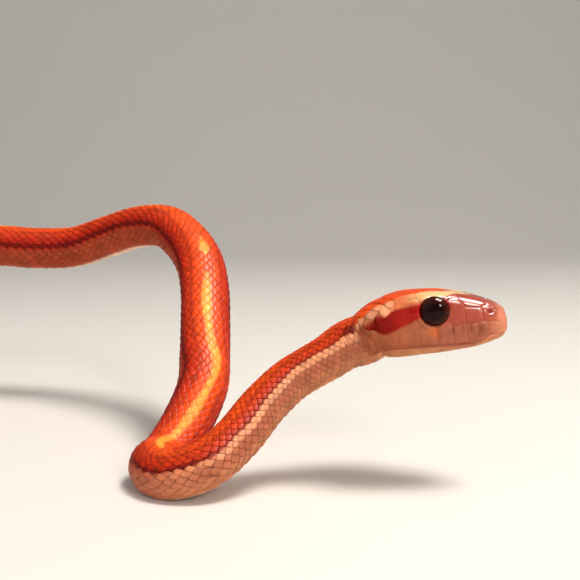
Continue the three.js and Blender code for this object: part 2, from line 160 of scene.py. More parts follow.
@dataclass
class SnakeForm:
    """The animal's shape in millimetres, with the same named sizes as the solid model."""

    head_pitch: float = 8.6
    head_yaw: float = 12.0
    eye_from_snout: float = 6.5
    eye_above_axis: float = 1.25
    eye_below_frame: float = 0.05
    eye_off_middle: float = 2.8
    eye_radius: float = 1.42
    eye_depth: float = 0.85
    between_eyes: tuple = (14.1, 89.3, 17.95)
    mouth_corner: float = 13.0
    tail_length: float = 52.0
    back_height: float = 0.98
    belly_depth: float = 0.88
    side_power: float = 0.92
    belly_power: float = 0.8
    floor_sink: float = 0.25
    lip_tuck: float = 0.3
    head_blend: tuple = (12.4, 17.5)
    head_up_fade: tuple = (11, 16)
    section_t: tuple = (0, 0.22, 0.4, 0.55, 0.64, 0.78, 1)
    head_knots: tuple = (0, 2.5, 5, 7.5, 10, 12)
    route: tuple = (
        (7.4, 90.75, 14.8), (5.6, 90.8, 13.9), (3.9, 90.6, 12.75), (2.0, 90.5, 11.65), (0.0, 90.2, 10.45),
        (-2.6, 89.0, 8.2), (-5.2, 87.2, 5.35), (-8.2, 85.9, 3.1), (-11.6, 86.8, None), (-13.4, 90.0, None),
        (-12.7, 93.6, None), (-10.9, 96.8, 4.7), (-9.5, 99.8, 8.0), (-9.5, 102.7, 10.9), (-9.7, 105.9, 14.4),
        (-10.0, 109.0, 17.4), (-10.9, 112.4, 20.4), (-12.9, 115.9, 22.8), (-15.7, 119.1, 24.45),
        (-19.6, 122.0, 24.35), (-24.0, 124.6, 23.05), (-29.1, 126.4, 21.45), (-35.0, 127.6, 21.2),
        (-41.0, 128.8, 21.4), (-48.5, 130.2, 19.3), (-56.0, 131.8, 14.6), (-62.5, 133.8, 9.2),
        (-69.5, 137.3, 4.6), (-78.0, 142.0, None), (-88.5, 146.0, None), (-99.0, 143.6, None),
        (-105.0, 135.0, None), (-103.5, 124.0, None), (-97.5, 115.0, None), (-93.5, 105.0, None),
        (-95.0, 94.5, None), (-103.0, 87.6, None), (-113.5, 88.0, None), (-121.0, 95.5, None),
        (-122.5, 106.5, None), (-120.0, 117.5, None), (-118.0, 128.5, None), (-120.0, 139.5, None),
        (-127.5, 147.5, None), (-137.5, 149.0, None),
    )
    samples: int = 80
    back_lean: tuple = ((0, 0), (36, 0), (48, 0.5), (56, 0.48), (60, 0.17), (64, 0.05), (76, 0), (400, 0))
    body_width: tuple = (
        (14, 2.85), (17, 2.46), (24, 2.34), (34, 2.46), (48, 2.66), (64, 2.82), (80, 2.84), (110, 2.98),
        (160, 3.2), (215, 3.18), (255, 2.92),
    )
    rear_width: tuple = ((62, 2.65), (48, 2.3), (36, 1.85), (24, 1.35), (12, 0.8), (4, 0.45), (0, 0.22))
    # Where the route lies on the floor, its height comes from a first guess of the width along it.
    lying_rear: tuple = ((290, 2.5), (340, 0.45))
    lying_stretch: float = 1.08
    # Head stations: s, crown, brow out and up, cheek out and up, lip out and up, jaw out and up, throat.
    head_stations: tuple = (
        (0.0, -0.75, 0.0, -0.75, 0.0, -0.75, 0.0, -0.75, 0.0, -0.75, -0.75),
        (0.12, 0.1, 0.42, -0.05, 0.72, -0.7, 0.66, -1.45, 0.3, -1.55, -1.6),
        (0.45, 0.6, 0.82, 0.38, 1.25, -0.5, 1.22, -1.72, 0.7, -1.95, -2.1),
        (1.0, 1.02, 1.18, 0.8, 1.68, -0.3, 1.72, -1.8, 1.2, -2.15, -2.4),
        (2.0, 1.55, 1.55, 1.3, 2.08, 0.0, 2.25, -1.98, 1.7, -2.4, -2.62),
        (3.4, 2.12, 1.9, 1.8, 2.36, 0.1, 2.72, -2.25, 2.1, -2.62, -2.78),
        (5.0, 2.62, 2.38, 2.28, 2.72, 0.2, 3.12, -2.18, 2.5, -2.66, -2.86),
        (6.6, 2.94, 2.86, 2.5, 3.14, 0.3, 3.5, -2.02, 2.85, -2.68, -2.92),
        (8.6, 3.18, 3.0, 2.55, 3.72, 0.3, 3.92, -1.82, 3.2, -2.7, -3.0),
        (10.4, 3.16, 2.95, 2.45, 3.98, 0.2, 4.12, -1.74, 3.4, -2.68, -3.0),
        (12.2, 2.62, 2.6, 2.1, 3.72, 0.1, 3.86, -1.85, 3.15, -2.55, -2.86),
        (14.2, 2.26, 1.98, 1.72, 2.85, 0.0, 2.95, -1.58, 2.4, -2.3, -2.64),
    )
    mouth_line: tuple = (
        (-1.0, -1.82), (0.8, -1.82), (1.6, -1.75), (2.2, -2.02), (2.9, -2.3), (3.9, -2.26), (5.3, -2.16),
        (7.3, -1.96), (9.4, -1.76), (11.2, -1.8), (13.0, -2.06),
    )
    # Half steps in s and in turn for reading slopes.
    step_s: float = 0.05
    step_turn: float = 0.004

    def __post_init__(self) -> None:
        """Works out the head's axes, the route's fine samples and the shift to the frame."""
        pitch, yaw = math.radians(self.head_pitch), math.radians(self.head_yaw)
        self.forward = np.array([
            math.cos(pitch) * math.cos(yaw), -math.cos(pitch) * math.sin(yaw), math.sin(pitch)])
        self.up = unit(np.array([0, 0, 1.0]) - self.forward[2] * self.forward)
        self.left = np.cross(self.up, self.forward)
        self._sample_route()
        rear = [(self.length - back, half) for back, half in self.rear_width]
        self.width = np.array([*self.body_width, *rear])
        low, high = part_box("eye_right")
        eye_in_frame = np.array((low + high) / 2) / MM
        self.shift = eye_in_frame - self.eye_centre(-1)

    def head_point(self, s: float, v: float, w: float) -> Array:
        """A point in the head's own frame.

        Args:
            s: Distance back from the snout.
            v: Distance to the left.
            w: Distance up from the head's axis.

        Returns:
            The point before the shift to the frame.
        """
        return (np.array(self.between_eyes) + (self.eye_from_snout - s) * self.forward + v * self.left
                + (w - self.eye_above_axis) * self.up)

    def eye_centre(self, side: int) -> Array:
        """The middle of one eyeball.

        Args:
            side: +1 for the left eye and -1 for the right.

        Returns:
            The point before the shift to the frame.
        """
        up = self.eye_above_axis - self.eye_below_frame
        return self.head_point(self.eye_from_snout, side * self.eye_off_middle, up)

    def _sample_route(self) -> None:
        """Samples a centripetal Catmull-Rom curve through the route's points."""
        points = [self.head_point(s, 0, 0) for s in self.head_knots]
        travelled = float(self.head_knots[-1])
        lying = (*self.body_width, *self.lying_rear)
        for x, y, z in self.route:
            travelled += math.hypot(x - points[-1][0], y - points[-1][1])
            half = float(smooth(lying, travelled * self.lying_stretch))
            points.append(np.array([x, y, self.belly_depth * half - self.floor_sink if z is None else z]))
        ends = [2 * points[0] - points[1], *points, 2 * points[-1] - points[-2]]
        fine = []
        for i in range(1, len(ends) - 2):
            p0, p1, p2, p3 = ends[i - 1:i + 3]
            d0, d1, d2 = (np.linalg.norm(b - a) ** 0.5 for a, b in ((p0, p1), (p1, p2), (p2, p3)))
            m1 = ((p1 - p0) / d0 - (p2 - p0) / (d0 + d1) + (p2 - p1) / d1)
            m2 = ((p2 - p1) / d1 - (p3 - p1) / (d1 + d2) + (p3 - p2) / d2)
            u = np.linspace(0, 1, self.samples, endpoint=False)[:, None]
            fine.append(hermite(u, d1, p1, p2, m1, m2))
        self.line = np.vstack([*fine, points[-1][None]])
        steps = np.linalg.norm(np.diff(self.line, axis=0), axis=1)
        self.line_s = np.concatenate([[0], np.cumsum(steps)])
        self.length = float(self.line_s[-1])

    def _centre(self, s: Array) -> Array:
        """The route's point at s."""
        return np.stack([np.interp(s, self.line_s, self.line[:, k]) for k in range(3)], axis=-1)

    def axes(self, s: Array) -> tuple:
        """The animal's own centre, up and left directions at s.

        Args:
            s: Distances from the snout.

        Returns:
            Centre, up and left, each with a last axis of three.
        """
        s = np.clip(s, 0, self.length)
        ahead, behind = np.maximum(s - self.step_s, 0), np.minimum(s + self.step_s, self.length)
        forward = unit(self._centre(ahead) - self._centre(behind))
        lean = smooth(self.back_lean, s)
        up = np.stack([lean, np.zeros_like(lean), np.ones_like(lean)], axis=-1)
        share = (1 - ease(*self.head_up_fade, s))[..., None]
        up = up * (1 - share) + self.up * share
        up = unit(up - np.sum(up * forward, axis=-1, keepdims=True) * forward)
        return self._centre(s), up, np.cross(up, forward)

    def _body_section(self, s: Array, t: Array) -> tuple:
        """Half width and height of the body's section, round above and flatter under the belly.

        Args:
            s: Distances from the snout.
            t: Unsigned turns.

        Returns:
            Half width and height.
        """
        half = smooth(self.width, np.maximum(s, self.body_width[0][0]))
        rise = np.cos(np.pi * t)
        across = np.maximum(np.sin(np.pi * t), 0) ** self.side_power
        below = -self.belly_depth * np.abs(rise) ** self.belly_power
        return half * across, half * np.where(rise > 0, self.back_height * rise, below)

    def _head_section(self, s: Array, t: Array) -> tuple:
        """Half width and height of the head's section, over crown, brow, cheek and lips.

        Args:
            s: Distances from the snout.
            t: Unsigned turns.

        Returns:
            Half width and height.
        """
        table = np.array(self.head_stations)
        crown, bv, bw, cv, cw, lv, lw, jv, jw, throat = (
            smooth(table[:, (0, k)], s) for k in range(1, 11))
        tuck = self.lip_tuck * ease(0, 1.2, s) * (1 - ease(11.5, 13.5, s))
        zero = np.zeros_like(crown)
        out = [zero, bv, cv, lv, lv - tuck, jv, zero]
        high = [crown, bw, cw, lw, lw - 0.3 * (lw - jw), jw, throat]
        knots = np.array([-self.section_t[1], *self.section_t, 2 - self.section_t[5]])
        v = self._across(knots, np.stack([-bv, *out, -jv]), t)
        w = self._across(knots, np.stack([bw, *high, jw]), t)
        return np.maximum(v, 0), w

    @staticmethod
    def _across(px: Array, values: Array, t: Array) -> Array:
        """Smooth value across a section whose knot values differ from place to place.

        Args:
            px: The knots' turns, rising.
            values: One row of values for each knot.
            t: Unsigned turns.

        Returns:
            The value at each place.
        """
        i = np.clip(np.searchsorted(px, t, side="right") - 1, 1, len(px) - 3)
        pick = np.indices(t.shape)
        before, here, there, beyond = (values[(i + k, *pick)] for k in (-1, 0, 1, 2))
        h = px[i + 1] - px[i]
        m0 = (there - before) / (px[i + 1] - px[i - 1])
        m1 = (beyond - here) / (px[i + 2] - px[i])
        return hermite((t - px[i]) / h, h, here, there, m0, m1)

    def section(self, s: Array, t: Array) -> tuple:
        """Half width and height of the skin from its axis.

        Args:
            s: Distances from the snout.
            t: Unsigned turns, 0 on the back to 1 on the belly.

        Returns:
            Half width and height.
        """
        v, w = self._body_section(s, t)
        near = s < self.head_blend[1]
        if np.any(near):
            hv, hw = self._head_section(s[near], t[near])
            blend = ease(*self.head_blend, s[near])
            v[near] = hv + (v[near] - hv) * blend
            w[near] = hw + (w[near] - hw) * blend
        return v, w

    def point(self, s: Array, turn: Array, lift: Array = 0.0) -> Array:
        """Points of the skin, in the frame, in millimetres.

        Args:
            s: Distances from the snout.
            turn: Signed turns; a value past 1 goes on up the other side.
            lift: Distance out from the section's axis.

        Returns:
            Points with a last axis of three.
        """
        s, turn = np.broadcast_arrays(np.asarray(s, float), np.asarray(turn, float))
        turn = folded(turn)
        side = np.where(turn < 0, -1.0, 1.0)
        v, w = self.section(s, np.abs(turn))
        centre, up, left = self.axes(s)
        grow = 1 + lift / np.maximum(np.hypot(v, w), 1e-6)
        spot = centre + left * (side * v * grow)[..., None] + up * (w * grow)[..., None]
        spot = spot + self.shift
        spot[..., 2] = np.maximum(spot[..., 2], 0.0)
        return spot

    def normal(self, s: Array, turn: Array) -> Array:
        """Outward directions of the skin.

        Args:
            s: Distances from the snout.
            turn: Signed turns.

        Returns:
            Unit vectors.
        """
        along = self.point(s + self.step_s, turn) - self.point(s - self.step_s, turn)
        round_ = self.point(s, turn + self.step_turn) - self.point(s, turn - self.step_turn)
        return unit(np.cross(round_, along))

    def raised_point(self, s: Array, turn: Array, height: Array) -> Array:
        """Points at a height over the skin, never under the floor.

        Args:
            s: Distances from the snout.
            turn: Signed turns.
            height: Distance out along the skin's own direction.

        Returns:
            Points with a last axis of three.
        """
        points = self.point(s, turn) + self.normal(s, turn) * height[..., None]
        points[..., 2] = np.maximum(points[..., 2], 0.0)
        return points


def patch(a: float, b: float, t0: float, t1: float) -> tuple:
    """The four corners of a shield between two distances and two turns."""
    return (a, t0), (a, t1), (b, t1), (b, t0)


@dataclass
class HeadShields:
    """The head's shields as outlines of (s, turn), and the relief that they give the skin."""

    seam: float = 0.11
    lift: float = 0.05
    crown: float = 0.03
    crown_reach: float = 0.45
    groove: float = 0.035
    reach: float = 0.45
    edge_parts: int = 5
    paired: dict = field(default_factory=lambda: {
        "internasal": ((0.62, 0.0), (0.6, 0.2), (1.1, 0.27), (1.75, 0.2), (1.7, 0.0)),
        "prefrontal": (
            (1.7, 0.0), (1.75, 0.2), (2.3, 0.3), (3.5, 0.3), (4.2, 0.2), (3.7, 0.11), (3.65, 0.0)),
        "supraocular": (
            (4.3, 0.2), (3.8, 0.11), (5.3, 0.095), (6.8, 0.065), (7.9, 0.1), (8.2, 0.2), (7.0, 0.235),
            (5.4, 0.235)),
        "parietal": (
            (7.5, 0.0), (6.9, 0.06), (7.95, 0.1), (8.3, 0.19), (9.5, 0.2), (10.9, 0.15), (11.5, 0.06),
            (11.2, 0.0)),
        "nasal": ((0.7, 0.3), (0.85, 0.42), (2.1, 0.42), (2.2, 0.31), (1.3, 0.27)),
        "loreal": ((2.2, 0.31), (2.15, 0.42), (3.75, 0.43), (3.75, 0.32)),
        "preocular": ((3.8, 0.31), (3.8, 0.43), (4.75, 0.44), (4.9, 0.35), (4.75, 0.25), (4.3, 0.22)),
        "upper_postocular": ((8.2, 0.21), (8.05, 0.33), (9.0, 0.33), (9.1, 0.22)),
        "lower_postocular": ((8.05, 0.335), (7.9, 0.43), (8.9, 0.43), (9.0, 0.335)),
        "mental": ((0.4, 0.72), (0.45, 1.0), (1.0, 1.0), (1.1, 0.7)),
    })
    frontal: tuple = (
        (3.7, -0.105), (3.7, 0.105), (5.3, 0.09), (6.8, 0.06), (7.5, 0), (6.8, -0.06), (5.3, -0.09))
    rostral: tuple = ((0.6, 0), (0.5, 0.15), (0.45, 0.3), (0.6, 0.48), (0.5, 0.56), (0.14, 0.7), (0.1, 1))
    # Rows of shields: where each one starts and ends along the head, and the turns at its edges.
    upper_labials: tuple = (0.72, 1.75, 2.75, 3.8, 5.05, 6.5, 8.1, 10.1, 12.4)
    upper_labial_t: tuple = (0.44, 0.545)
    lower_labials: tuple = (1.1, 1.9, 2.8, 3.8, 5.0, 6.5, 8.2, 10.0, 12.0)
    lower_labial_t: tuple = (0.6, 0.74)
    temporal_columns: tuple = (
        ((9.15, 10.25), (0.225, 0.33, 0.44)),
        ((10.3, 11.7), (0.335, 0.44)),
    )
    chin: tuple = ((1.9, 4.3), (4.5, 7.0))
    chin_t: tuple = (0.78, 1.0)

    def outlines(self) -> list:
        """All outlines, both sides, except the rostral.

        Returns:
            Outlines as arrays of (s, turn).
        """
        one_side = list(self.paired.values())
        for edges, turns in (
            (self.upper_labials, self.upper_labial_t), (self.lower_labials, self.lower_labial_t)
        ):
            one_side += [patch(a, b, *turns) for a, b in zip(edges, edges[1:])]
        for (a, b), turns in self.temporal_columns:
            one_side += [patch(a, b, t0, t1) for t0, t1 in zip(turns, turns[1:])]
        one_side += [patch(a, b, *self.chin_t) for a, b in self.chin]
        both = [np.array(outline, float) for outline in one_side]
        both += [outline * (1, -1) for outline in both]
        return [*both, np.array(self.frontal, float)]

    @staticmethod
    def _near(outline: Array, s: Array, turn: Array) -> Array:
        """Tells which places an outline can matter to.

        Args:
            outline: Corners as (s, turn).
            s: Distances from the snout.
            turn: Signed turns.

        Returns:
            Numbers of the places.
        """
        near = (s > outline[:, 0].min() - 1) & (s < outline[:, 0].max() + 1)
        if outline[:, 1].min() >= 0:
            near &= (turn > -0.25) | (turn < -0.75)
        elif outline[:, 1].max() <= 0:
            near &= (turn < 0.25) | (turn > 0.75)
        return np.flatnonzero(near)

    def relief(self, form: SnakeForm, s: Array, turn: Array, spots: Array) -> tuple:
        """How far each place is from the nearest seam between shields.

        Args:
            form: The animal's shape.
            s: Distances from the snout.
            turn: Signed turns.
            spots: Points of the skin at s and turn.

        Returns:
            Distance from the seam in millimetres, and how much the place belongs to a shield.
        """
        first, second = np.full(s.shape, FAR), np.full(s.shape, FAR)
        ring = np.array(self.rostral, float)
        rostral = np.vstack([ring, ring[::-1] * (1, -1)])
        for outline in [*self.outlines(), rostral]:
            picked = self._near(outline, s, turn)
            gap = self._edge_distance(form, outline, spots[picked])
            if outline is rostral:
                inside = s[picked] < np.interp(np.abs(turn[picked]), ring[:, 1], ring[:, 0])
            else:
                inside = self._inside(outline, s[picked], turn[picked])
            gap = np.where(inside, -gap, gap)
            second[picked] = np.minimum(second[picked], np.maximum(first[picked], gap))
            first[picked] = np.minimum(first[picked], gap)
        second = np.minimum(second, first + 2 * self.reach)
        belongs = 1 - ease(self.reach * 0.4, self.reach, first)
        return (second - first) / 2, belongs

    @staticmethod
    def _inside(outline: Array, s: Array, turn: Array) -> Array:
        """Tells which places are inside an outline.

        Args:
            outline: Corners as (s, turn).
            s: Distances from the snout.
            turn: Signed turns.

        Returns:
            True where the place is inside.
        """
        inside = np.zeros(s.shape, bool)
        for (s0, t0), (s1, t1) in zip(outline, np.roll(outline, -1, axis=0)):
            if t0 == t1:
                continue
            crosses = (t0 > turn) != (t1 > turn)
            inside ^= crosses & (s < (s1 - s0) * (turn - t0) / (t1 - t0) + s0)
        return inside

    def _edge_distance(self, form: SnakeForm, outline: Array, spots: Array) -> Array:
        """Distance from points to an outline drawn on the skin.

        Args:
            form: The animal's shape.
            outline: Corners as (s, turn).
            spots: Points near the skin.

        Returns:
            The shortest distance of each point.
        """
        share = np.arange(self.edge_parts)[:, None] / self.edge_parts
        ends = np.roll(outline, -1, axis=0)
        path = np.vstack([a + (b - a) * share for a, b in zip(outline, ends)])
        corners = form.point(path[:, 0], path[:, 1])
        best = np.full(len(spots), FAR)
        for a, b in zip(corners, np.roll(corners, -1, axis=0)):
            run = b - a
            u = np.clip((spots - a) @ run / max(run @ run, 1e-12), 0, 1)
            best = np.minimum(best, np.linalg.norm(spots - a - u[:, None] * run, axis=1))
        return best

    def height(self, seam_distance: Array, belongs: Array) -> Array:
        """Height of the shields over the plain skin.

        Args:
            seam_distance: Distance from the nearest seam.
            belongs: How much the place belongs to a shield.

        Returns:
            The height in millimetres.
        """
        plateau = ease(0, self.seam, seam_distance)
        swell = 1 - np.exp(-seam_distance / self.crown_reach)
        return belongs * (self.lift * plateau - self.groove * (1 - plateau) + self.crown * swell)


@dataclass(frozen=True)
class Palette:
    """Colours of the living animal, as sRGB hex values."""

    orange: str = "EA4E12"
    orange_red: str = "D03814"
    side_red: str = "A61C0C"
    maroon: str = "5C0A08"
    rust: str = "A8452A"
    stripe: str = "FFAA40"
    cream: str = "EE9E74"
    salmon: str = "E67A48"
    brow: str = "F8C688"
    flank: str = "B5664A"
    belly: str = "EBC4A6"
    snout: str = "B44E38"
    cheek: str = "B0603F"
    lip: str = "A85C40"
    muzzle: str = "EE9A76"
    chin: str = "D08C60"
    mask_red: str = "A81608"
    mask_deep: str = "7C0C05"
    labial_mark: str = "6A2018"
    spot: str = "DE6A24"

    def linear(self, name: str) -> Array:
        """One colour as linear red, green and blue.

        Args:
            name: The colour's field name.

        Returns:
            Three values.
        """
        text = getattr(self, name)
        srgb = np.array([int(text[i:i + 2], 16) for i in (0, 2, 4)]) / 255
        return np.where(srgb <= 0.04045, srgb / 12.92, ((srgb + 0.055) / 1.055) ** 2.4)

    def paint(self, ground: str, layers: tuple, shape: tuple) -> Array:
        """Lays colours over a ground colour, in order.

        Args:
            ground: The ground colour's field name.
            layers: Pairs of a colour's field name and its share at each place.
            shape: The shape of the places.

        Returns:
            Linear colours, with a last axis of three.
        """
        colour = np.broadcast_to(self.linear(ground), (*shape, 3)).copy()
        for name, share in layers:
            share = np.clip(share, 0, 1)[..., None]
            colour = colour * (1 - share) + self.linear(name) * share
        return colour


@dataclass
class Markings:
    """The pattern of the skin and of the scales, as soft bands over (s, turn)."""

    form: SnakeForm
    palette: Palette = Palette()
    # The pale back stripe is broken: each dash runs from one s to another.
    stripe_half: float = 0.056
    front_dashes: tuple = ((40.0, 68.2), (71.4, 74.0))
    dash_start: float = 82.0
    dash_period: float = 24.0
    dash_share: float = 0.72
    # The fore body is paler, and its dark side line lies higher than the hind body's.
    fore_end: tuple = (30, 44)
    side_line: float = 0.44
    fore_line_rise: float = 0.135
    head_to_body: tuple = (13.8, 14.6)
    # Head pattern: (s, turn) lines of the crown band's edge, of the brow's and of the stripe behind the
    # eye, and the places of the dark marks on the lip shields.
    crown_edge: tuple = (
        (4.3, -0.1), (4.7, -0.04), (5.1, 0.045), (5.8, 0.085), (6.7, 0.095), (7.6, 0.118), (8.4, 0.145),
        (9.2, 0.155), (10.05, 0.176), (11.1, 0.2), (11.8, 0.226), (12.4, 0.248), (13.1, 0.252),
        (14.6, 0.24), (16, 0.2),
    )
    brow_edge: tuple = (
        (2.8, -0.05), (3.05, 0), (3.6, 0.068), (4.2, 0.118), (4.75, 0.166), (5.3, 0.215), (6, 0.245))
    mask_top: tuple = (
        (7, 0.262), (8, 0.275), (9.5, 0.28), (10.5, 0.288), (11.25, 0.306), (12, 0.322), (13, 0.34))
    mask_low: tuple = (
        (7, 0.36), (8.2, 0.376), (8.8, 0.392), (9.7, 0.408), (10.55, 0.428), (11.3, 0.437), (11.8, 0.42),
        (12.15, 0.39), (12.5, 0.35),
    )
    lip_marks: tuple = ((3.35, 0.455), (4.0, 0.45), (4.95, 0.455), (6.2, 0.485), (2.4, 0.47))

    def _dashes(self, s: Array, t: Array) -> Array:
        """The broken pale stripe along the back.

        Args:
            s: Distances from the snout.
            t: Unsigned turns.

        Returns:
            The stripe's share, from 0 to 1.
        """
        wide = self.stripe_half * (1 + 0.12 * np.sin(s * 0.9))
        along = np.zeros_like(s)
        for a, b in self.front_dashes:
            along = np.maximum(along, window(a, b, 2.0, s))
        turn = (s - self.dash_start) / self.dash_period
        place = turn - np.floor(turn)
        length = self.dash_share + 0.12 * np.sin(np.floor(turn) * 2.4)
        later = window(0.04, length, 0.07, place) * ease(self.dash_start - 1, self.dash_start, s)
        along = np.maximum(along, later)
        return along * (1 - ease(wide * 0.62, wide * 1.15, t / np.maximum(along, 0.2)))

    def body(self, s: Array, turn: Array) -> Array:
        """Colours of the body, from the back down to the belly.

        Args:
            s: Distances from the snout.
            turn: Signed turns.

        Returns:
            Linear colours.
        """
        t = np.abs(turn)
        fore = 1 - ease(*self.fore_end, s)
        line = self.side_line - self.fore_line_rise * fore
        dark_line = window(line - 0.05 + 0.01 * fore, line + 0.03 - 0.03 * fore, 0.04, t)
        neck_patch = window(14.0, 15.6, 0.5, s) * window(0.19, 0.31, 0.05, t)
        # Under the loop the pale belly starts lower: partly the scutes' ends taking the flank's colour,
        # partly painted shade on the loop's shaded underside.
        under_loop = 0.08 * window(62, 130, 24, s)
        layers = (
            ("orange_red", 0.8 * ease(0.1, 0.2, t) * (1 - 0.5 * fore) + 0.15 * fore),
            ("maroon", 0.45 * bump(t - 0.2 + 0.07 * fore, 0.02)),
            ("side_red", 0.9 * ease(line - 0.25, line - 0.06, t) * (1 - 0.6 * fore)),
            ("maroon", 0.8 * dark_line),
            ("rust", ease(line + 0.03, line + 0.07, t)),
            ("cream", fore * ease(line, line + 0.015, t)),
            ("flank", fore * ease(line + 0.07, line + 0.1, t)),
            ("maroon", 0.8 * neck_patch),
            ("chin", 0.4 * fore * ease(0.5, 0.6, t)),
            ("belly", ease(0.77 + under_loop, 0.87 + under_loop, t) * ease(12, 22, s)),
            ("stripe", self._dashes(s, t)),
        )
        return self.palette.paint("orange", layers, s.shape)

    def head(self, s: Array, turn: Array) -> Array:
        """Colours of the head: muzzle, brow, crown, the stripe behind the eye, lips and chin.

        Args:
            s: Distances from the snout.
            turn: Signed turns.

        Returns:
            Linear colours.
        """
        t = np.abs(turn)
        crown_edge, brow_edge, mask_top, mask_low = (
            smooth(line, s) for line in (self.crown_edge, self.brow_edge, self.mask_top, self.mask_low))
        tip = s + 1.2 * ease(0.5, 0.3, t) * ease(0.4, 1.2, s)
        wedge = ease(1.9, 2.6, s) * (1 - ease(4.6, 5.2, s)) * (1 - ease(0.2, 0.245, t))
        band = window(0.1, mask_top, 0.03, t) * ease(6.6, 9.8, s) * (1 - ease(12.0, 12.6, s))
        stripe = window(mask_top, mask_low, 0.025, t) * window(7.3, 12.6, 0.5, s)
        lip_marks = (
            bump((s - place - 3 * (t - low)) / 0.17, 1.0) * bump((t - low) / 0.026, 1.0)
            for place, low in self.lip_marks)
        layers = (
            ("snout", (1 - ease(4.6, 8.0, s)) * (1 - ease(0.41, 0.46, t))),
            ("lip", ease(0.42, 0.47, t) * (1 - ease(5, 9, s))),
            ("muzzle", 0.75 * (1 - ease(0.4, 2.4, tip))),
            ("muzzle", 0.6 * (1 - ease(1.6, 3.6, s)) * ease(0.5, 0.56, t)),
            ("mask_red", 0.4 * wedge),
            ("brow", 1 - ease(brow_edge - 0.012, brow_edge + 0.012, t)),
            ("salmon", band),
            ("cream", band * ease(9.4, 11.4, s)),
            ("cream", window(0.1, crown_edge + 0.06, 0.03, t) * window(12.0, 14.2, 0.6, s)),
            ("mask_red", 0.85 * window(4.85, 5.8, 0.4, s) * window(0.225, 0.33, 0.03, t)),
            ("orange", 1 - ease(crown_edge - 0.015, crown_edge + 0.015, t)),
            ("mask_red", stripe),
            ("mask_deep", 0.8 * stripe * ease(9.6, 11.2, s)),
            ("maroon", 0.45 * bump(np.hypot((s - 13.1) / 0.6, (t - 0.33) / 0.035), 1.0)),
            ("spot", 0.85 * bump(np.hypot((s - 6.7) / 0.42, (t - 0.455) / 0.03), 1.0)),
            *(("labial_mark", 0.6 * mark) for mark in lip_marks),
            ("chin", ease(0.57, 0.62, t) * (1 - 0.45 * ease(8, 12, s))),
            # Painted highlight: a thin pale line along the lower lip, just under the mouth.
            ("muzzle", 0.6 * bump(t - 0.59, 0.02) * window(3.0, 12.0, 2.0, s)),
            ("belly", 0.7 * ease(0.76, 0.88, t)),
        )
        return self.palette.paint("cheek", layers, s.shape)

    def colour(self, s: Array, turn: Array) -> Array:
        """Colours at any place on the animal.

        Args:
            s: Distances from the snout.
            turn: Signed turns.

        Returns:
            Linear colours.
        """
        s, turn = np.broadcast_arrays(np.asarray(s, float), np.asarray(turn, float))
        turn = folded(turn)
        share = ease(*self.head_to_body, s)[..., None]
        return self.head(s, turn) * (1 - share) + self.body(s, turn) * share


def mesh_object(name: str, points: Array, faces: list, attributes: dict) -> Object:
    """Makes a smooth-shaded mesh object.

    Args:
        name: The object's name.
        points: Vertices in millimetres, in the frame.
        faces: Arrays of vertex numbers, one row a face, with three or four columns.
        attributes: Vertex attributes: one column for a number and three for a colour.

    Returns:
        The new object, linked to the scene.
    """
    mesh = bpy.data.meshes.new(name)
    sizes = np.concatenate([np.full(len(f), f.shape[1]) for f in faces])
    corners = np.concatenate([f.ravel() for f in faces]).astype(np.int32)
    starts = np.concatenate([[0], np.cumsum(sizes)[:-1]]).astype(np.int32)
    mesh.vertices.add(len(points))
    mesh.vertices.foreach_set("co", (points * MM).astype(np.float32).ravel())
    mesh.loops.add(len(corners))
    mesh.loops.foreach_set("vertex_index", corners)
    mesh.polygons.add(len(sizes))
    mesh.polygons.foreach_set("loop_start", starts)
    mesh.polygons.foreach_set("use_smooth", np.ones(len(sizes), bool))
    mesh.update(calc_edges=True)
    for label, values in attributes.items():
        if values.ndim == 2:
            layer = mesh.attributes.new(label, "FLOAT_COLOR", "POINT")
            full = np.hstack([values, np.ones((len(values), 1))])
            layer.data.foreach_set("color", full.astype(np.float32).ravel())
        else:
            layer = mesh.attributes.new(label, "FLOAT", "POINT")
            layer.data.foreach_set("value", values.astype(np.float32))
    obj = bpy.data.objects.new(name, mesh)
    bpy.context.scene.collection.objects.link(obj)
    return obj


def add_bake_map(obj: Object, uv: Array) -> None:
    """Gives a coat piece its bake map.

    Args:
        obj: The piece.
        uv: One row of two for each vertex.
    """
    layer = obj.data.uv_layers.new(name="OFBake")
    corner = np.zeros(len(obj.data.loops), np.int32)
    obj.data.loops.foreach_get("vertex_index", corner)
    layer.data.foreach_set("uv", uv[corner].astype(np.float32).ravel())


@dataclass
class HeadPlaces:
    """The skin's places on the head, and what their relief and finish depend on."""

    number: Array
    s: Array
    turn: Array
    up: Array
    seam: Array
    belongs: Array
    eye: Array
    nostril: Array


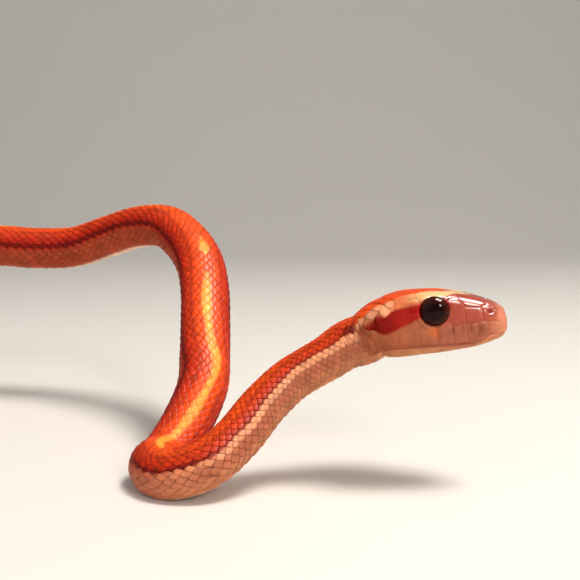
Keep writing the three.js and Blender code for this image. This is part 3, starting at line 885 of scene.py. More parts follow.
@dataclass
class Skin:
    """One skin over the whole animal, with the head's relief."""

    form: SnakeForm
    shields: HeadShields
    markings: Markings
    head_columns: int = 240
    tip_rings: tuple = (0.002, 0.01)
    snout_rings: int = 25
    snout_end: float = 1.6
    head_start: float = 1.69
    head_end: float = 13.8
    neck_end: float = 17.0
    head_step: float = 0.085
    neck_step: float = 0.16
    body_step: float = 0.5
    under_coat: float = 0.16
    # The head's shields fade into the nape and are flatter on the temple.
    shields_end: tuple = (11.4, 12.6)
    temple_s: tuple = (8.6, 13.0)
    temple_t: tuple = (0.19, 0.46)
    temple_flat: float = 0.85
    socket_radius: float = 1.37
    socket_gap: float = 0.06
    socket_depth: float = 0.45
    rim_radius: float = 1.56
    rim_width: float = 0.14
    rim_lift: float = 0.06
    mouth_depth: float = 0.17
    mouth_half: float = 0.085
    nostril_at: tuple = (1.45, 0.42)
    nostril_half: tuple = (0.26, 0.17)
    nostril_depth: float = 0.42
    nostril_rim: float = 0.05

    def rings(self) -> list:
        """Where the rings lie, and how many columns each has.

        Returns:
            Pairs of s values and column counts, for head, neck and body.
        """
        snout = self.snout_end * (np.arange(1, self.snout_rings + 1) / self.snout_rings) ** 2
        snout = snout[snout > self.tip_rings[-1] + 0.002]
        head = np.arange(self.head_start, self.head_end, self.head_step)
        neck = np.arange(self.head_end + 0.1, self.neck_end, self.neck_step)
        body = np.arange(self.neck_end + 0.2, self.form.length - 0.05, self.body_step)
        columns = self.head_columns
        return [
            (np.concatenate([self.tip_rings, snout, head]), columns), (neck, columns // 2),
            (np.append(body, self.form.length), columns // 4)]

    def _faces(self, zones: list) -> list:
        """Faces between all rings, with finer rings stitched to coarser ones.

        Args:
            zones: Pairs of s values and column counts.

        Returns:
            The four-sided and the three-sided faces.
        """
        quads, triangles = [], []
        start = 0
        before = None
        for s, columns in zones:
            k = np.arange(columns)
            after = (k + 1) % columns
            if before is not None:
                row, fine = before
                a, b, c = row + 2 * k, row + 2 * k + 1, row + (2 * k + 2) % fine
                d, e = start + k, start + after
                triangles += [np.stack(three, 1) for three in ((a, b, d), (b, e, d), (b, c, e))]
            for row in start + columns * np.arange(len(s) - 1):
                quads.append(np.stack([row + k, row + after, row + columns + after, row + columns + k], 1))
            before = (start + columns * (len(s) - 1), columns)
            start += columns * len(s)
        k = np.arange(self.head_columns)
        snout_cap = np.stack([np.full_like(k, start), (k + 1) % self.head_columns, k], 1)
        row, columns = before
        k = np.arange(columns)
        tail_cap = np.stack([np.full_like(k, start + 1), row + k, row + (k + 1) % columns], 1)
        return [np.vstack(quads), np.vstack([*triangles, snout_cap, tail_cap])]

    def _head_places(self, s: Array, turn: Array) -> HeadPlaces:
        """Reads what the head's relief depends on: seams, eyes and nostrils.

        Args:
            s: Distances of all the skin's places from the snout.
            turn: Their signed turns.

        Returns:
            The places on the head.
        """
        form = self.form
        number = np.flatnonzero(s < form.head_blend[1])
        s, turn = s[number], turn[number]
        t = np.abs(turn)
        seam, belongs = self.shields.relief(form, s, turn, form.point(s, turn))
        belongs = belongs * (1 - ease(*self.shields_end, s)) * (1 - 0.4 * ease(0.26, 0.36, t))
        temple = window(*self.temple_s, 0.6, s) * window(*self.temple_t, 0.04, t)
        belongs = belongs * (1 - self.temple_flat * temple)
        up = form.section(s, t)[1]
        eye_up = up - (form.eye_above_axis - form.eye_below_frame)
        beside_eye = (t > 0.1) & (t < 0.62) & (s > 3.5) & (s < 10)
        eye = np.where(beside_eye, np.hypot(s - form.eye_from_snout, eye_up), FAR)
        (at_s, at_up), (half_s, half_up) = self.nostril_at, self.nostril_half
        nostril = np.hypot((s - at_s) / half_s, (up - at_up) / half_up)
        nostril = np.where((t > 0.2) & (t < 0.5), nostril, FAR)
        return HeadPlaces(number, s, turn, up, seam, belongs, eye, nostril)

    def _mouth(self, head: HeadPlaces) -> Array:
        """Depth of the closed mouth's crease.

        Args:
            head: The places on the head.

        Returns:
            The depth in millimetres.
        """
        line = smooth(self.form.mouth_line, head.s)
        corner = self.form.mouth_corner
        return self.mouth_depth * bump(head.up - line, self.mouth_half) * (
            1 - ease(corner - 0.5, corner + 0.15, head.s))

    def _lift(self, s: Array, turn: Array, head: HeadPlaces) -> Array:
        """Height of the skin over the plain section.

        Args:
            s: Distances from the snout.
            turn: Signed turns.
            head: The places on the head.

        Returns:
            The height in millimetres, below 0 under the scales.
        """
        first_scale = smooth(ScaleCoat.head_start, np.abs(turn))
        lift = -self.under_coat * ease(first_scale - 0.35, first_scale + 0.25, s)
        lift[head.number] += self.shields.height(head.seam, head.belongs)
        lift[head.number] += self.rim_lift * bump(head.eye - self.rim_radius, self.rim_width)
        lift[head.number] -= self._mouth(head)
        lift[head.number] -= self.nostril_depth * bump(head.nostril, 0.8)
        lift[head.number] += self.nostril_rim * bump(head.nostril - 1.7, 0.45)
        return lift

    def _press_sockets(self, points: Array, head: HeadPlaces) -> None:
        """Presses the skin in behind each eyeball.

        Args:
            points: The skin's points, which it moves.
            head: The places on the head.
        """
        form = self.form
        for side in (1, -1):
            inner = (head.eye < self.socket_radius) & (np.sign(head.turn) == side)
            picked, radial = head.number[inner], head.eye[inner]
            centre = form.eye_centre(side) + form.shift
            out = side * form.left
            now = (points[picked] - centre) @ out
            ball = form.eye_depth * np.sqrt(np.maximum(1 - (radial / form.eye_radius) ** 2, 0))
            sunk = self.socket_depth * ease(self.socket_radius, self.socket_radius - 0.2, radial)
            wanted = np.minimum(now, ball - sunk - self.socket_gap)
            points[picked] += (wanted - now)[:, None] * out

    def _finish(self, s: Array, turn: Array, head: HeadPlaces) -> dict:
        """Colour, height over the seams with painted shade in the mouth's crease and nostrils, and wetness
        of every point.

        Args:
            s: Distances from the snout, with those of the two ends last.
            turn: Signed turns.
            head: The places on the head.

        Returns:
            Vertex attributes by name.
        """
        t = np.abs(head.turn)
        shown = 1 - 0.7 * ease(0.24, 0.36, t)
        raised, wet = np.ones(len(s)), np.zeros(len(s))
        wet[head.number] = (1 - ease(5.0, 6.2, head.s)) * (1 - ease(0.34, 0.42, t)) * ease(
            -0.06, 0.08, head.seam)
        # Near the shields' seams the colour darkens: partly the seams' own darker skin, partly painted shade
        # in the grooves.
        raised[head.number] = 1 - shown * head.belongs * (1 - ease(0.0, self.shields.seam, head.seam))
        # Painted shade: the mouth's crease is darkened.
        raised[head.number] *= 1 - 0.4 * np.clip(self._mouth(head) / self.mouth_depth, 0, 1)
        # Painted shade: the nostrils' pits are darkened.
        raised[head.number] *= 1 - 0.9 * bump(head.nostril, 0.8)
        colour = self.markings.colour(s, turn)
        return {"markings": colour, "raised": raised, "cell": np.zeros(len(s)), "wet": wet}

    def build(self) -> Object:
        """Makes the skin.

        Returns:
            The skin's object.
        """
        zones = self.rings()
        s = np.concatenate([np.repeat(row, columns) for row, columns in zones])
        turn = folded(np.concatenate([np.tile(2 * np.arange(c) / c, len(row)) for row, c in zones]))
        head = self._head_places(s, turn)
        points = self.form.point(s, turn, self._lift(s, turn, head))
        self._press_sockets(points, head)
        snout, tail_tip = points[:self.head_columns].mean(axis=0), points[-zones[-1][1]:].mean(axis=0)
        points = np.vstack([points, snout, tail_tip])
        finish = self._finish(np.append(s, [0, self.form.length]), np.append(turn, [0, 0]), head)
        return mesh_object("skin", points, self._faces(zones), finish)


@dataclass
class ScaleZone:
    """A stretch of the body with one count of scale rows."""

    name: str
    start: float
    end: float
    rows: int
    reach: float = 0.735
    under_throat: bool = False

    @property
    def middle(self) -> float:
        """The turn in the zone's middle: the belly's for the throat, and otherwise the back's."""
        return 1.0 if self.under_throat else 0.0

    @property
    def half(self) -> float:
        """How many turns the zone reaches to each side of its middle."""
        return 1 - self.reach if self.under_throat else self.reach


@dataclass
class ScaleCoat:
    """The small scales of back and sides, as solid overlapping plates."""

    form: SnakeForm
    markings: Markings
    # Name, start, end, rows and reach; a start or end that isn't above 0 is measured from the tail tip.
    zones: tuple = (
        ("nape", 9.8, 15.6, 27), ("throat", 7.4, 13.8, 11, 0.75, True), ("neck", 15.2, 34, 23),
        ("loop_front", 33.6, 74, 27), ("loop_rear", 74, 120, 27), ("midbody", 120, 176, 27),
        ("hindbody", 176, 236, 27), ("vent", 235.5, -52, 23), ("tail_base", -52.4, -32, 15, 0.76),
        ("tail", -32.4, -14, 11, 0.76), ("tail_tip", -14.4, 0, 7, 0.76),
    )
    pitch: tuple = (
        (7, 0.62), (9.5, 0.74), (10.8, 0.8), (12.2, 0.78), (13.4, 0.7), (15, 0.64), (20, 0.66), (28, 0.76),
        (38, 0.95), (60, 1.18), (200, 1.3), (270, 1.15), (300, 0.95), (332, 0.6),
    )
    # The head's edge of the coat: at each t, the s where the scales begin.
    head_start: tuple = (
        (0, 11.7), (0.1, 11.5), (0.15, 11.0), (0.19, 10.3), (0.3, 10.5), (0.34, 11.7), (0.44, 12.2),
        (0.5, 12.8), (0.56, 13.2), (0.66, 12.9), (0.73, 12.2), (0.765, 7.8), (1, 7.5),
    )
    around: int = 10
    rings: tuple = (0.62, 1.0)
    foot: float = 0.98
    outline_power: float = 1.45
    overlap: float = 1.2
    side_gap: float = 0.98
    size_spread: float = 0.04
    coat_sink: float = 0.07
    front_sink: float = 0.05
    rear_lift: float = 0.085
    dome: float = 0.045
    keel: float = 0.012
    skirt: float = 0.09
    # Low on the fore body the scales are soft: flatter, and without a darker edge.
    soft_cut: float = 0.6
    soft_turn: tuple = (0.34, 0.42)
    soft_end: tuple = (20, 34)
    edge_share: float = 0.7
    own_colour: float = 0.5
    bake_patch: float = 0.0015

    def template(self) -> tuple:
        """One scale in its own plane: x towards the tail and y to the left, both -1 to 1.

        Returns:
            x, y, distance from the middle and faces of the scale.
        """
        angle = 2 * np.pi * np.arange(self.around) / self.around
        power = 2 / self.outline_power
        rim_x = np.sign(np.cos(angle)) * np.abs(np.cos(angle)) ** power
        rim_y = np.sign(np.sin(angle)) * np.abs(np.sin(angle)) ** power
        x, y = (
            np.concatenate([[0.0], *[rim * r for r in (*self.rings, self.foot)]]) for rim in (rim_x, rim_y))
        k = np.arange(self.around)
        after = (k + 1) % self.around
        faces = [np.stack([np.zeros_like(k), 1 + after, 1 + k], 1)]
        for a in 1 + self.around * np.arange(len(self.rings)):
            b = a + self.around
            faces.append(np.stack([a + k, a + after, b + k], 1))
            faces.append(np.stack([a + after, b + after, b + k], 1))
        radius = np.concatenate([[0.0], *[np.full(self.around, r) for r in (*self.rings, 1.05)]])
        return x, y, radius, np.vstack(faces)

    def _places(self, zone: ScaleZone) -> tuple:
        """Roots of the scales in a zone, in staggered rows.

        Args:
            zone: The stretch of the body.

        Returns:
            Distances from the snout and signed turns.
        """
        steps = np.linspace(0, self.form.length + 4, 4000)
        count = np.concatenate([[0], np.cumsum(np.diff(steps) / smooth(self.pitch, steps[1:]))])
        first, last = np.interp([zone.start, zone.end], steps, count)
        s_rows, turn_rows = [], []
        for row in range(zone.rows):
            index = np.arange(math.ceil(first), math.floor(last) + 1) + 0.5 * (row % 2)
            turn = zone.middle + (2 * (row + 0.5) / zone.rows - 1) * zone.half
            s_rows.append(np.interp(index, count, steps))
            turn_rows.append(np.full_like(index, turn))
        s, turn = np.concatenate(s_rows), np.concatenate(turn_rows)
        keep = (s > smooth(self.head_start, np.abs(folded(turn)))) & (s < self.form.length - 0.3)
        return s[keep], turn[keep]

    def _height(self, template: tuple, pitch: Array, soft: Array) -> Array:
        """Height of every point of every scale over the skin.

        Args:
            template: One scale, as template gives it.
            pitch: The scales' lengths.
            soft: How flat each scale is, 0 to 1.

        Returns:
            Heights in millimetres, one row a scale.
        """
        x, y, radius, _ = template
        height = self.rear_lift * (0.5 + 0.5 * x) - self.front_sink * (0.5 - 0.5 * x)
        height = height + self.dome * (1 - radius**2) + self.keel * bump(y, 0.14)[None]
        skirt = np.where(radius > 1.01, self.skirt, 0.0)[None]
        return height * pitch * (1 - self.soft_cut * soft) - skirt * pitch - self.coat_sink

    def _build_zone(self, zone: ScaleZone) -> Object:
        """Makes the scales of one zone.

        Args:
            zone: The stretch of the body.

        Returns:
            The joined mesh object.
        """
        s, turn = (values[:, None] for values in self._places(zone))
        rng = np.random.default_rng(SEED + zone.rows + int(zone.start))
        template = self.template()
        x, y, radius, faces = template
        pitch = smooth(self.pitch, s)
        size = 1 + self.size_spread * rng.standard_normal(len(s))[:, None]
        along = s + x[None] * (0.5 * pitch * self.overlap * size) + 0.06 * pitch
        round_ = turn + y[None] * (2 * zone.half / zone.rows) * self.side_gap * size
        soft = ease(*self.soft_turn, np.abs(folded(turn))) * (1 - ease(*self.soft_end, s))
        points = self.form.raised_point(along, round_, self._height(template, pitch, soft))
        own = self.own_colour
        colour = self.markings.colour(s + own * (along - s), turn + own * (round_ - turn))
        # Scales darken and redden towards their rims: partly their own darker edges, partly painted shade
        # between the scales.
        edge = (1 - np.clip(radius**3, 0, 1))[None] * self.edge_share + (1 - self.edge_share)
        count = len(x)
        finish = {
            "markings": colour.reshape(-1, 3),
            "raised": (edge + (1 - edge) * soft).ravel(),
            "cell": np.repeat(rng.random(len(s)), count),
        }
        all_faces = (faces[None] + count * np.arange(len(s))[:, None, None]).reshape(-1, 3)
        scales = mesh_object(f"scales_{zone.name}", points.reshape(-1, 3), [all_faces], finish)
        u = (s - zone.start + 2) / (zone.end - zone.start + 4) + self.bake_patch * x
        v = 0.5 + 0.49 * (turn - zone.middle) + self.bake_patch * y
        add_bake_map(scales, np.stack([u.ravel(), v.ravel()], 1))
        return scales

    def build(self) -> list:
        """Makes the scales of all zones.

        Returns:
            One joined mesh object for each zone.
        """
        pieces = []
        for name, start, end, *rest in self.zones:
            start, end = (place if place > 0 else self.form.length + place for place in (start, end))
            pieces.append(self._build_zone(ScaleZone(name, start, end, *rest)))
        return pieces


@dataclass
class BellyScutes:
    """The broad scutes across the belly, and the paired ones under the tail."""

    form: SnakeForm
    markings: Markings
    pitch: tuple = (
        (7, 0.62), (12, 0.74), (16, 0.8), (22, 0.92), (35, 1.05), (60, 1.2), (200, 1.3), (270, 1.15),
        (300, 0.95), (332, 0.6),
    )
    start: float = 13.4
    end_gap: float = 1.5
    reach: tuple = ((13, 0.725), (16, 0.72), (280, 0.715), (300, 0.74), (332, 0.74))
    across: int = 22
    coat_sink: float = 0.05
    corner_sweep: float = 0.3
    # From front to rear of a scute: places in its length, and heights over the skin.
    steps: tuple = (-0.2, 0.0, 0.3, 0.65, 0.93, 1.02, 1.0)
    heights: tuple = (-0.06, 0.0, 0.02, 0.05, 0.07, 0.045, -0.04)

    def build(self) -> Object:
        """Makes all scutes.

        Returns:
            The joined mesh object.
        """
        edges = [self.start]
        while edges[-1] < self.form.length - self.end_gap:
            edges.append(edges[-1] + float(smooth(self.pitch, edges[-1])))
        s = np.array(edges[:-1])
        pitch = np.diff(np.array(edges))
        tail = s >= self.form.length - self.form.tail_length
        blocks = [self._run(s[~tail], pitch[~tail], 0)]
        blocks += [self._run(s[tail], pitch[tail], half) for half in (-1, 1)]
        points = np.vstack([block[0] for block in blocks])
        offsets = np.cumsum([0] + [len(block[0]) for block in blocks[:-1]])
        faces = np.vstack([block[1] + offset for block, offset in zip(blocks, offsets)])
        finish = {key: np.concatenate([block[2][key] for block in blocks]) for key in blocks[0][2]}
        uv = finish.pop("uv")
        scutes = mesh_object("belly_scutes", points, [faces], finish)
        add_bake_map(scutes, uv)
        return scutes

    def _run(self, s: Array, pitch: Array, half: int) -> tuple:
        """One run of scutes.

        Args:
            s: Where each scute starts.
            pitch: Each scute's length.
            half: 0 for whole scutes, or the side of paired ones.

        Returns:
            Points, faces, and the vertex attributes with the bake map's places.
        """
        x = np.array(self.steps)
        y = np.linspace(-1, 1, self.across) if half == 0 else np.linspace(0, 1, self.across // 2) * half
        s, pitch = s[:, None, None], pitch[:, None, None]
        along = s + (0.5 * pitch if half > 0 else 0 * pitch) + pitch * x[None, :, None] + 0 * y
        along = along + self.corner_sweep * pitch * (np.abs(y) ** 3)[None, None]
        round_ = 1 + (1 - smooth(self.reach, s)) * y[None, None] + 0 * along
        edge = 1 - 0.9 * ease(0.9, 1.0, np.abs(y))
        height = np.array(self.heights)[None, :, None] * edge[None, None] * pitch - self.coat_sink
        points = self.form.raised_point(along, round_, height)
        rows, columns = len(x), len(y)
        i, j = np.meshgrid(np.arange(rows - 1), np.arange(columns - 1), indexing="ij")
        a = (i * columns + j).ravel()
        quad = np.stack([a, a + 1, a + columns + 1, a + columns], 1)
        if half < 0:
            quad = quad[:, ::-1]
        faces = (quad[None] + rows * columns * np.arange(len(s))[:, None, None]).reshape(-1, 4)
        u, v = along / (self.form.length + 4), 0.5 + 0.49 * (round_ - 1)
        finish = {
            "markings": self.markings.colour(along, round_).reshape(-1, 3),
            # The scutes' rear lips are darker: partly their own colour, partly painted shade where they
            # overlap the next scute.
            "raised": np.broadcast_to(np.where(x < 0.9, 1.0, 0.45)[None, :, None], along.shape).ravel(),
            "cell": np.broadcast_to((s * 12.9898) % 1, along.shape).ravel(),
            "uv": np.stack([u.ravel(), v.ravel()], 1),
        }
        return points.reshape(-1, 3), faces, finish


@dataclass
class Eye:
    """An eyeball with its clear cover: a ball that is flattened from the side of the head."""

    form: SnakeForm
    rings: int = 48
    columns: int = 72

    def build(self, side: int, name: str) -> Object:
        """Makes one eye.

        Args:
            side: +1 for the left eye and -1 for the right.
            name: The object's name.

        Returns:
            The eye's object, with each point's distance from the pupil's middle as an attribute.
        """
        form = self.form
        centre = form.eye_centre(side) + form.shift
        out = side * form.left
        turned = Matrix([form.forward, np.cross(out, form.forward), out]).transposed()
        bpy.ops.object.select_all(action="DESELECT")
        bpy.ops.mesh.primitive_uv_sphere_add(
            segments=self.columns, ring_count=self.rings, radius=form.eye_radius * MM, calc_uvs=False,
            location=centre * MM, rotation=turned.to_euler())
        ball = bpy.context.object
        ball.name = ball.data.name = name
        place = np.zeros(3 * len(ball.data.vertices))
        ball.data.vertices.foreach_get("co", place)
        place = place.reshape(-1, 3) / (form.eye_radius * MM)
        distance = np.where(place[:, 2] > 1e-4, np.hypot(place[:, 0], place[:, 1]), 1.0)
        layer = ball.data.attributes.new("radial", "FLOAT", "POINT")
        layer.data.foreach_set("value", distance.astype(np.float32))
        ball.scale.z = form.eye_depth / form.eye_radius
        bpy.ops.object.transform_apply(location=True, rotation=True, scale=True)
        bpy.ops.object.shade_smooth()
        return ball


def set_inputs(node: bpy.types.Node, values: dict) -> None:
    """Gives a node's inputs fixed values.

    Args:
        node: The node.
        values: Values by the input's name or number.
    """
    for name, value in values.items():
        node.inputs[name].default_value = value


def add_node(tree: Tree, kind: str, values: dict | None = None, **settings: object) -> bpy.types.Node:
    """Adds a shader node.

    Args:
        tree: The node tree.
        kind: The node's type, without its first word.
        values: Fixed values of its inputs.
        **settings: Its own properties.

    Returns:
        The node.
    """
    node = tree.nodes.new(f"ShaderNode{kind}")
    for name, value in settings.items():
        setattr(node, name, value)
    set_inputs(node, values or {})
    return node


def add_range(tree: Tree, source: Socket, values: dict) -> Socket:
    """Adds a node that moves a value from one range to another.

    Args:
        tree: The node tree.
        source: The value's socket.
        values: The ends of the two ranges.

    Returns:
        The result's socket.
    """
    node = add_node(tree, "MapRange", values)
    tree.links.new(source, node.inputs["Value"])
    return node.outputs["Result"]


def add_noise(tree: Tree, scale: float, detail: float) -> Socket:
    """Adds a noise on the piece's Object coordinates.

    Args:
        tree: The node tree.
        scale: The noise's scale.
        detail: Its detail.

    Returns:
        The noise's socket.
    """
    node = add_node(tree, "TexNoise", {"Scale": scale, "Detail": detail})
    tree.links.new(add_node(tree, "TexCoord").outputs["Object"], node.inputs["Vector"])
    return node.outputs["Fac"]


def add_math(tree: Tree, operation: str, values: tuple) -> Socket:
    """Adds a sum or product.

    Args:
        tree: The node tree.
        operation: The node's operation.
        values: Sockets or numbers, in order.

    Returns:
        The result's socket.
    """
    node = add_node(tree, "Math", operation=operation)
    for number, value in enumerate(values):
        if isinstance(value, float):
            node.inputs[number].default_value = value
        else:
            tree.links.new(value, node.inputs[number])
    return node.outputs["Value"]


def new_material(name: str) -> tuple:
    """Makes a material.

    Args:
        name: The material's name.

    Returns:
        The material, its node tree and its shader.
    """
    material = bpy.data.materials.new(name)
    material.use_nodes = True
    return material, material.node_tree, material.node_tree.nodes["Principled BSDF"]


@dataclass(frozen=True)
class SkinTint:
    """Node group that reads the markings, adds the small variations of living skin and darkens the seams,
    partly with painted shade.
    """

    mottle_scale: float = 900.0
    mottle_detail: float = 4.0
    fine_scale: float = 6500.0
    fine_detail: float = 3.0
    mottle_low: float = 0.84
    mottle_high: float = 1.14
    cell_low: float = 0.86
    cell_high: float = 1.12
    seam_colour: tuple = (0.55, 0.27, 0.22, 1.0)
    seam_strength: float = 0.55
    seam_end: float = 0.75
    seam_roughness: float = 0.6
    top_roughness: float = 0.42
    dry_coat: float = 0.03
    wet_coat: float = 0.65

    def build(self) -> Tree:
        """Makes the group.

        Returns:
            The group, with outputs for colour, roughness, fine relief and wetness.
        """
        tree = bpy.data.node_groups.new("living_skin", "ShaderNodeTree")
        for name, kind in (
            ("Colour", "Color"), ("Gloss mask", "Float"), ("Fine height", "Float"), ("Wet mask", "Float")
        ):
            tree.interface.new_socket(name=name, in_out="OUTPUT", socket_type=f"NodeSocket{kind}")
        out = tree.nodes.new("NodeGroupOutput").inputs
        link = tree.links.new
        markings = add_node(tree, "Attribute", attribute_name="markings")
        raised, cell, wet = (
            add_node(tree, "Attribute", attribute_name=name).outputs["Fac"]
            for name in ("raised", "cell", "wet"))
        link(add_range(tree, wet, {"To Min": self.dry_coat, "To Max": self.wet_coat}), out["Wet mask"])
        mottle = add_noise(tree, self.mottle_scale, self.mottle_detail)
        link(add_noise(tree, self.fine_scale, self.fine_detail), out["Fine height"])
        # The markings' value varies a little with the mottle and from scale to scale.
        patches = add_range(tree, mottle, {
            "From Min": 0.3, "From Max": 0.7, "To Min": self.mottle_low, "To Max": self.mottle_high})
        each = add_range(tree, cell, {"To Min": self.cell_low, "To Max": self.cell_high})
        tint = add_node(tree, "HueSaturation")
        link(markings.outputs["Color"], tint.inputs["Color"])
        link(add_math(tree, "MULTIPLY", (patches, each)), tint.inputs["Value"])
        # Seams and scale edges are darker and redder than the middle of each scale: partly the skin's own
        # darker colour there, partly painted shade in the seams; the mouth's crease and the nostrils get
        # painted shade the same way.
        seam = add_node(tree, "Mix", data_type="RGBA", blend_type="MULTIPLY")
        seam.inputs["B"].default_value = self.seam_colour
        strength = add_range(tree, raised, {
            "From Max": self.seam_end, "To Min": self.seam_strength, "To Max": 0.0})
        link(strength, seam.inputs["Factor"])
        link(tint.outputs["Color"], seam.inputs["A"])
        link(seam.outputs["Result"], out["Colour"])
        gloss = {"To Min": self.seam_roughness, "To Max": self.top_roughness}
        link(add_range(tree, raised, gloss), out["Gloss mask"])
        return tree


@dataclass(frozen=True)
class LivingSkin:
    """Moist-looking reptile skin with a soft sheen and a little light under the surface."""

    name: str
    bump_strength: float = 0.25
    bump_distance: float = 0.00002
    specular: float = 0.06
    coat: float = 0.16
    coat_roughness: float = 0.12
    flesh: float = 0.12
    flesh_radius: tuple = (1.0, 0.35, 0.2)
    flesh_depth: float = 0.0006
    wet_snout: bool = False

    def build(self, tint: Tree) -> Material:
        """Makes the material.

        Args:
            tint: The shared node group for colour, gloss and fine relief.

        Returns:
            The material.
        """
        material, tree, shader = new_material(self.name)
        group = add_node(tree, "Group", node_tree=tint).outputs
        relief = add_node(tree, "Bump", {"Strength": self.bump_strength, "Distance": self.bump_distance})
        tree.links.new(group["Fine height"], relief.inputs["Height"])
        tree.links.new(group["Colour"], shader.inputs["Base Color"])
        tree.links.new(group["Gloss mask"], shader.inputs["Roughness"])
        tree.links.new(relief.outputs["Normal"], shader.inputs["Normal"])
        if self.wet_snout:
            tree.links.new(group["Wet mask"], shader.inputs["Coat Weight"])
        set_inputs(shader, {
            "Coat Weight": self.coat, "Coat Roughness": self.coat_roughness,
            "Specular IOR Level": self.specular, "Subsurface Weight": self.flesh,
            "Subsurface Radius": self.flesh_radius, "Subsurface Scale": self.flesh_depth,
        })
        return material


@dataclass(frozen=True)
class EyeFinish:
    """Near-black eye with a dark red-brown iris under a clear, wet cover."""

    name: str = "eye"
    pupil: tuple = (0.009, 0.0008, 0.0012, 1)
    # The iris from the pupil's edge out: places, as shares of the eye's radius, and colours.
    iris: tuple = (
        (0.5, (0.009, 0.0008, 0.0012, 1)), (0.66, (0.018, 0.0025, 0.002, 1)),
        (0.86, (0.045, 0.008, 0.004, 1)), (0.95, (0.05, 0.009, 0.004, 1)),
    )
    rim: tuple = (0.012, 0.003, 0.002, 1)
    streak_scale: float = 2600.0
    streak_detail: float = 5.0
    streak_width: float = 0.1
    roughness: float = 0.03
    specular: float = 0.12

    def build(self) -> Material:
        """Makes the material.

        Returns:
            The material.
        """
        material, tree, shader = new_material(self.name)
        radial = add_node(tree, "Attribute", attribute_name="radial")
        streak = add_noise(tree, self.streak_scale, self.streak_detail)
        wobble = add_math(tree, "MULTIPLY_ADD", (streak, self.streak_width, -self.streak_width / 2))
        ramp = add_node(tree, "ValToRGB")
        stops = ramp.color_ramp.elements
        stops[0].color, stops[1].color = self.pupil, self.rim
        for position, colour in self.iris:
            stops.new(position).color = colour
        tree.links.new(add_math(tree, "ADD", (radial.outputs["Fac"], wobble)), ramp.inputs["Fac"])
        tree.links.new(ramp.outputs["Color"], shader.inputs["Base Color"])
        set_inputs(shader, {"Roughness": self.roughness, "Specular IOR Level": self.specular})
        return material


@dataclass(frozen=True)
class SoftLight:
    """A square light, placed in metres from the head that it is aimed at."""

    name: str
    place: tuple
    size: float
    power: float
    colour: tuple
    gloss_only: bool = False

    def build(self, target: Vector) -> None:
        """Adds the light.

        Args:
            target: The point that it is aimed at.
        """
        data = bpy.data.lights.new(self.name, "AREA")
        data.size = self.size
        data.energy = self.power
        data.color = self.colour
        lamp = bpy.data.objects.new(self.name, data)
        lamp.location = target + Vector(self.place)
        lamp.visible_diffuse = not self.gloss_only
        lamp.rotation_euler = (target - lamp.location).to_track_quat("-Z", "Y").to_euler()
        bpy.context.scene.collection.objects.link(lamp)


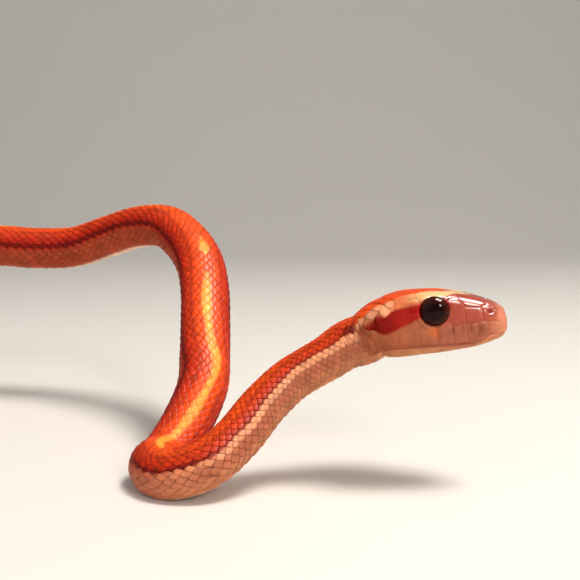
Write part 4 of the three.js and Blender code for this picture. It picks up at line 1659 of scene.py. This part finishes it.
@dataclass
class Studio:
    """Pale floor running up into a pale wall, with soft lights, in metres."""

    form: SnakeForm
    near: float = 0.5
    far: float = 0.55
    cove: float = 0.25
    cove_steps: int = 16
    wall: float = 0.7
    half_width: float = 1.2
    paper: tuple = (0.72, 0.7, 0.67, 1)
    paper_roughness: float = 0.9
    sky: tuple = (1.0, 0.98, 0.95, 1)
    sky_strength: float = 0.3
    # The two glints give only highlights, such as those on the eye and along the snout's edge.
    lights: tuple = (
        SoftLight("key", (0.102, -0.06, 0.32), 0.1, 1.15, (1.0, 0.93, 0.84)),
        SoftLight("front", (0.135, -0.325, 0.19), 0.07, 0.45, (1.0, 0.93, 0.84)),
        SoftLight("key_glint", (0.102, -0.06, 0.32), 0.16, 9.0, (1.0, 0.95, 0.9), True),
        SoftLight("front_glint", (0.135, -0.325, 0.19), 0.08, 1.6, (1.0, 0.95, 0.9), True),
        SoftLight("fill", (-0.35, -0.25, 0.25), 0.45, 0.35, (1.0, 0.97, 0.94)),
    )

    def build_floor(self) -> Object:
        """Makes the floor and wall as one curved sheet, with its pale paper material.

        Returns:
            The stage object.
        """
        bend = np.linspace(0, np.pi / 2, self.cove_steps + 1)[1:]
        flat = self.far - self.cove
        profile = [(-self.near, 0.0), (0.0, 0.0), (flat, 0.0)]
        profile += [(flat + self.cove * math.sin(a), self.cove * (1 - math.cos(a))) for a in bend]
        profile.append((self.far, self.wall))
        points = np.array([(x, y, z) for y, z in profile for x in (-self.half_width, self.half_width)]) / MM
        k = 2 * np.arange(len(profile) - 1)
        floor = mesh_object("studio_floor", points, [np.stack([k, k + 1, k + 3, k + 2], 1)], {})
        material, _, shader = new_material("pale_paper")
        set_inputs(shader, {"Base Color": self.paper, "Roughness": self.paper_roughness})
        floor.data.materials.append(material)
        return floor

    def build_lights(self) -> None:
        """Adds the lights around the head, and a dim world."""
        head = Vector((self.form.eye_centre(-1) + self.form.shift) * MM)
        for light in self.lights:
            light.build(head)
        world = bpy.data.worlds.new("soft_room")
        bpy.context.scene.world = world
        world.use_nodes = True
        set_inputs(world.node_tree.nodes["Background"], {"Color": self.sky, "Strength": self.sky_strength})

    def set_colours(self) -> None:
        """Shows the picture's colours without a film look."""
        bpy.context.scene.view_settings.view_transform = "Standard"


@dataclass
class PhotoCamera:
    """Camera at the photograph's viewing angle."""

    form: SnakeForm
    place: tuple = (0.0, 0.0, 29.0)
    look_down: float = 6.0
    field_of_view: float = 34.6
    clip_start: float = 0.005
    clip_end: float = 20

    def build(self) -> Object:
        """Makes the camera and sets it as the scene's camera.

        Returns:
            The camera.
        """
        data = bpy.data.cameras.new("photo_camera")
        data.angle = math.radians(self.field_of_view)
        data.clip_start = self.clip_start
        data.clip_end = self.clip_end
        camera = bpy.data.objects.new("photo_camera", data)
        camera.location = Vector((np.array(self.place) + self.form.shift) * MM)
        camera.rotation_euler = (math.radians(90 - self.look_down), 0, 0)
        bpy.context.scene.collection.objects.link(camera)
        bpy.context.scene.camera = camera
        return camera


def dress(piece: Object, material: Material) -> None:
    """Gives a piece its material and body, and reports it.

    Args:
        piece: The piece.
        material: Its material.
    """
    piece.data.materials.append(material)
    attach(piece, "root")
    log.info("%s: %d faces", piece.name, len(piece.data.polygons))


def main() -> None:
    """Builds the animal, its stage and the camera, in order."""
    logging.basicConfig(level=logging.INFO, format="%(message)s")
    form = SnakeForm()
    log.info("length %.1f mm, shift %s", form.length, np.round(form.shift, 3))
    markings = Markings(form)
    tint = SkinTint().build()
    skin_material = LivingSkin("corn_snake_skin", wet_snout=True).build(tint)
    scale_material = LivingSkin("corn_snake_scales", coat=0.015, coat_roughness=0.25).build(tint)
    eye_material = EyeFinish().build()

    skin = Skin(form, HeadShields(), markings).build()
    dress(skin, skin_material)
    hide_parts(*[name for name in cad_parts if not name.startswith("eye_")])

    for side, name in ((1, "eye_left"), (-1, "eye_right")):
        eye = Eye(form).build(side, f"{name}_ball")
        dress(eye, eye_material)
        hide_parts(name)

    for coat_piece in [*ScaleCoat(form, markings).build(), BellyScutes(form, markings).build()]:
        dress(coat_piece, scale_material)

    studio = Studio(form)
    studio.build_floor()
    studio.build_lights()
    studio.set_colours()
    PhotoCamera(form).build()


if __name__ == "__main__":
    main()
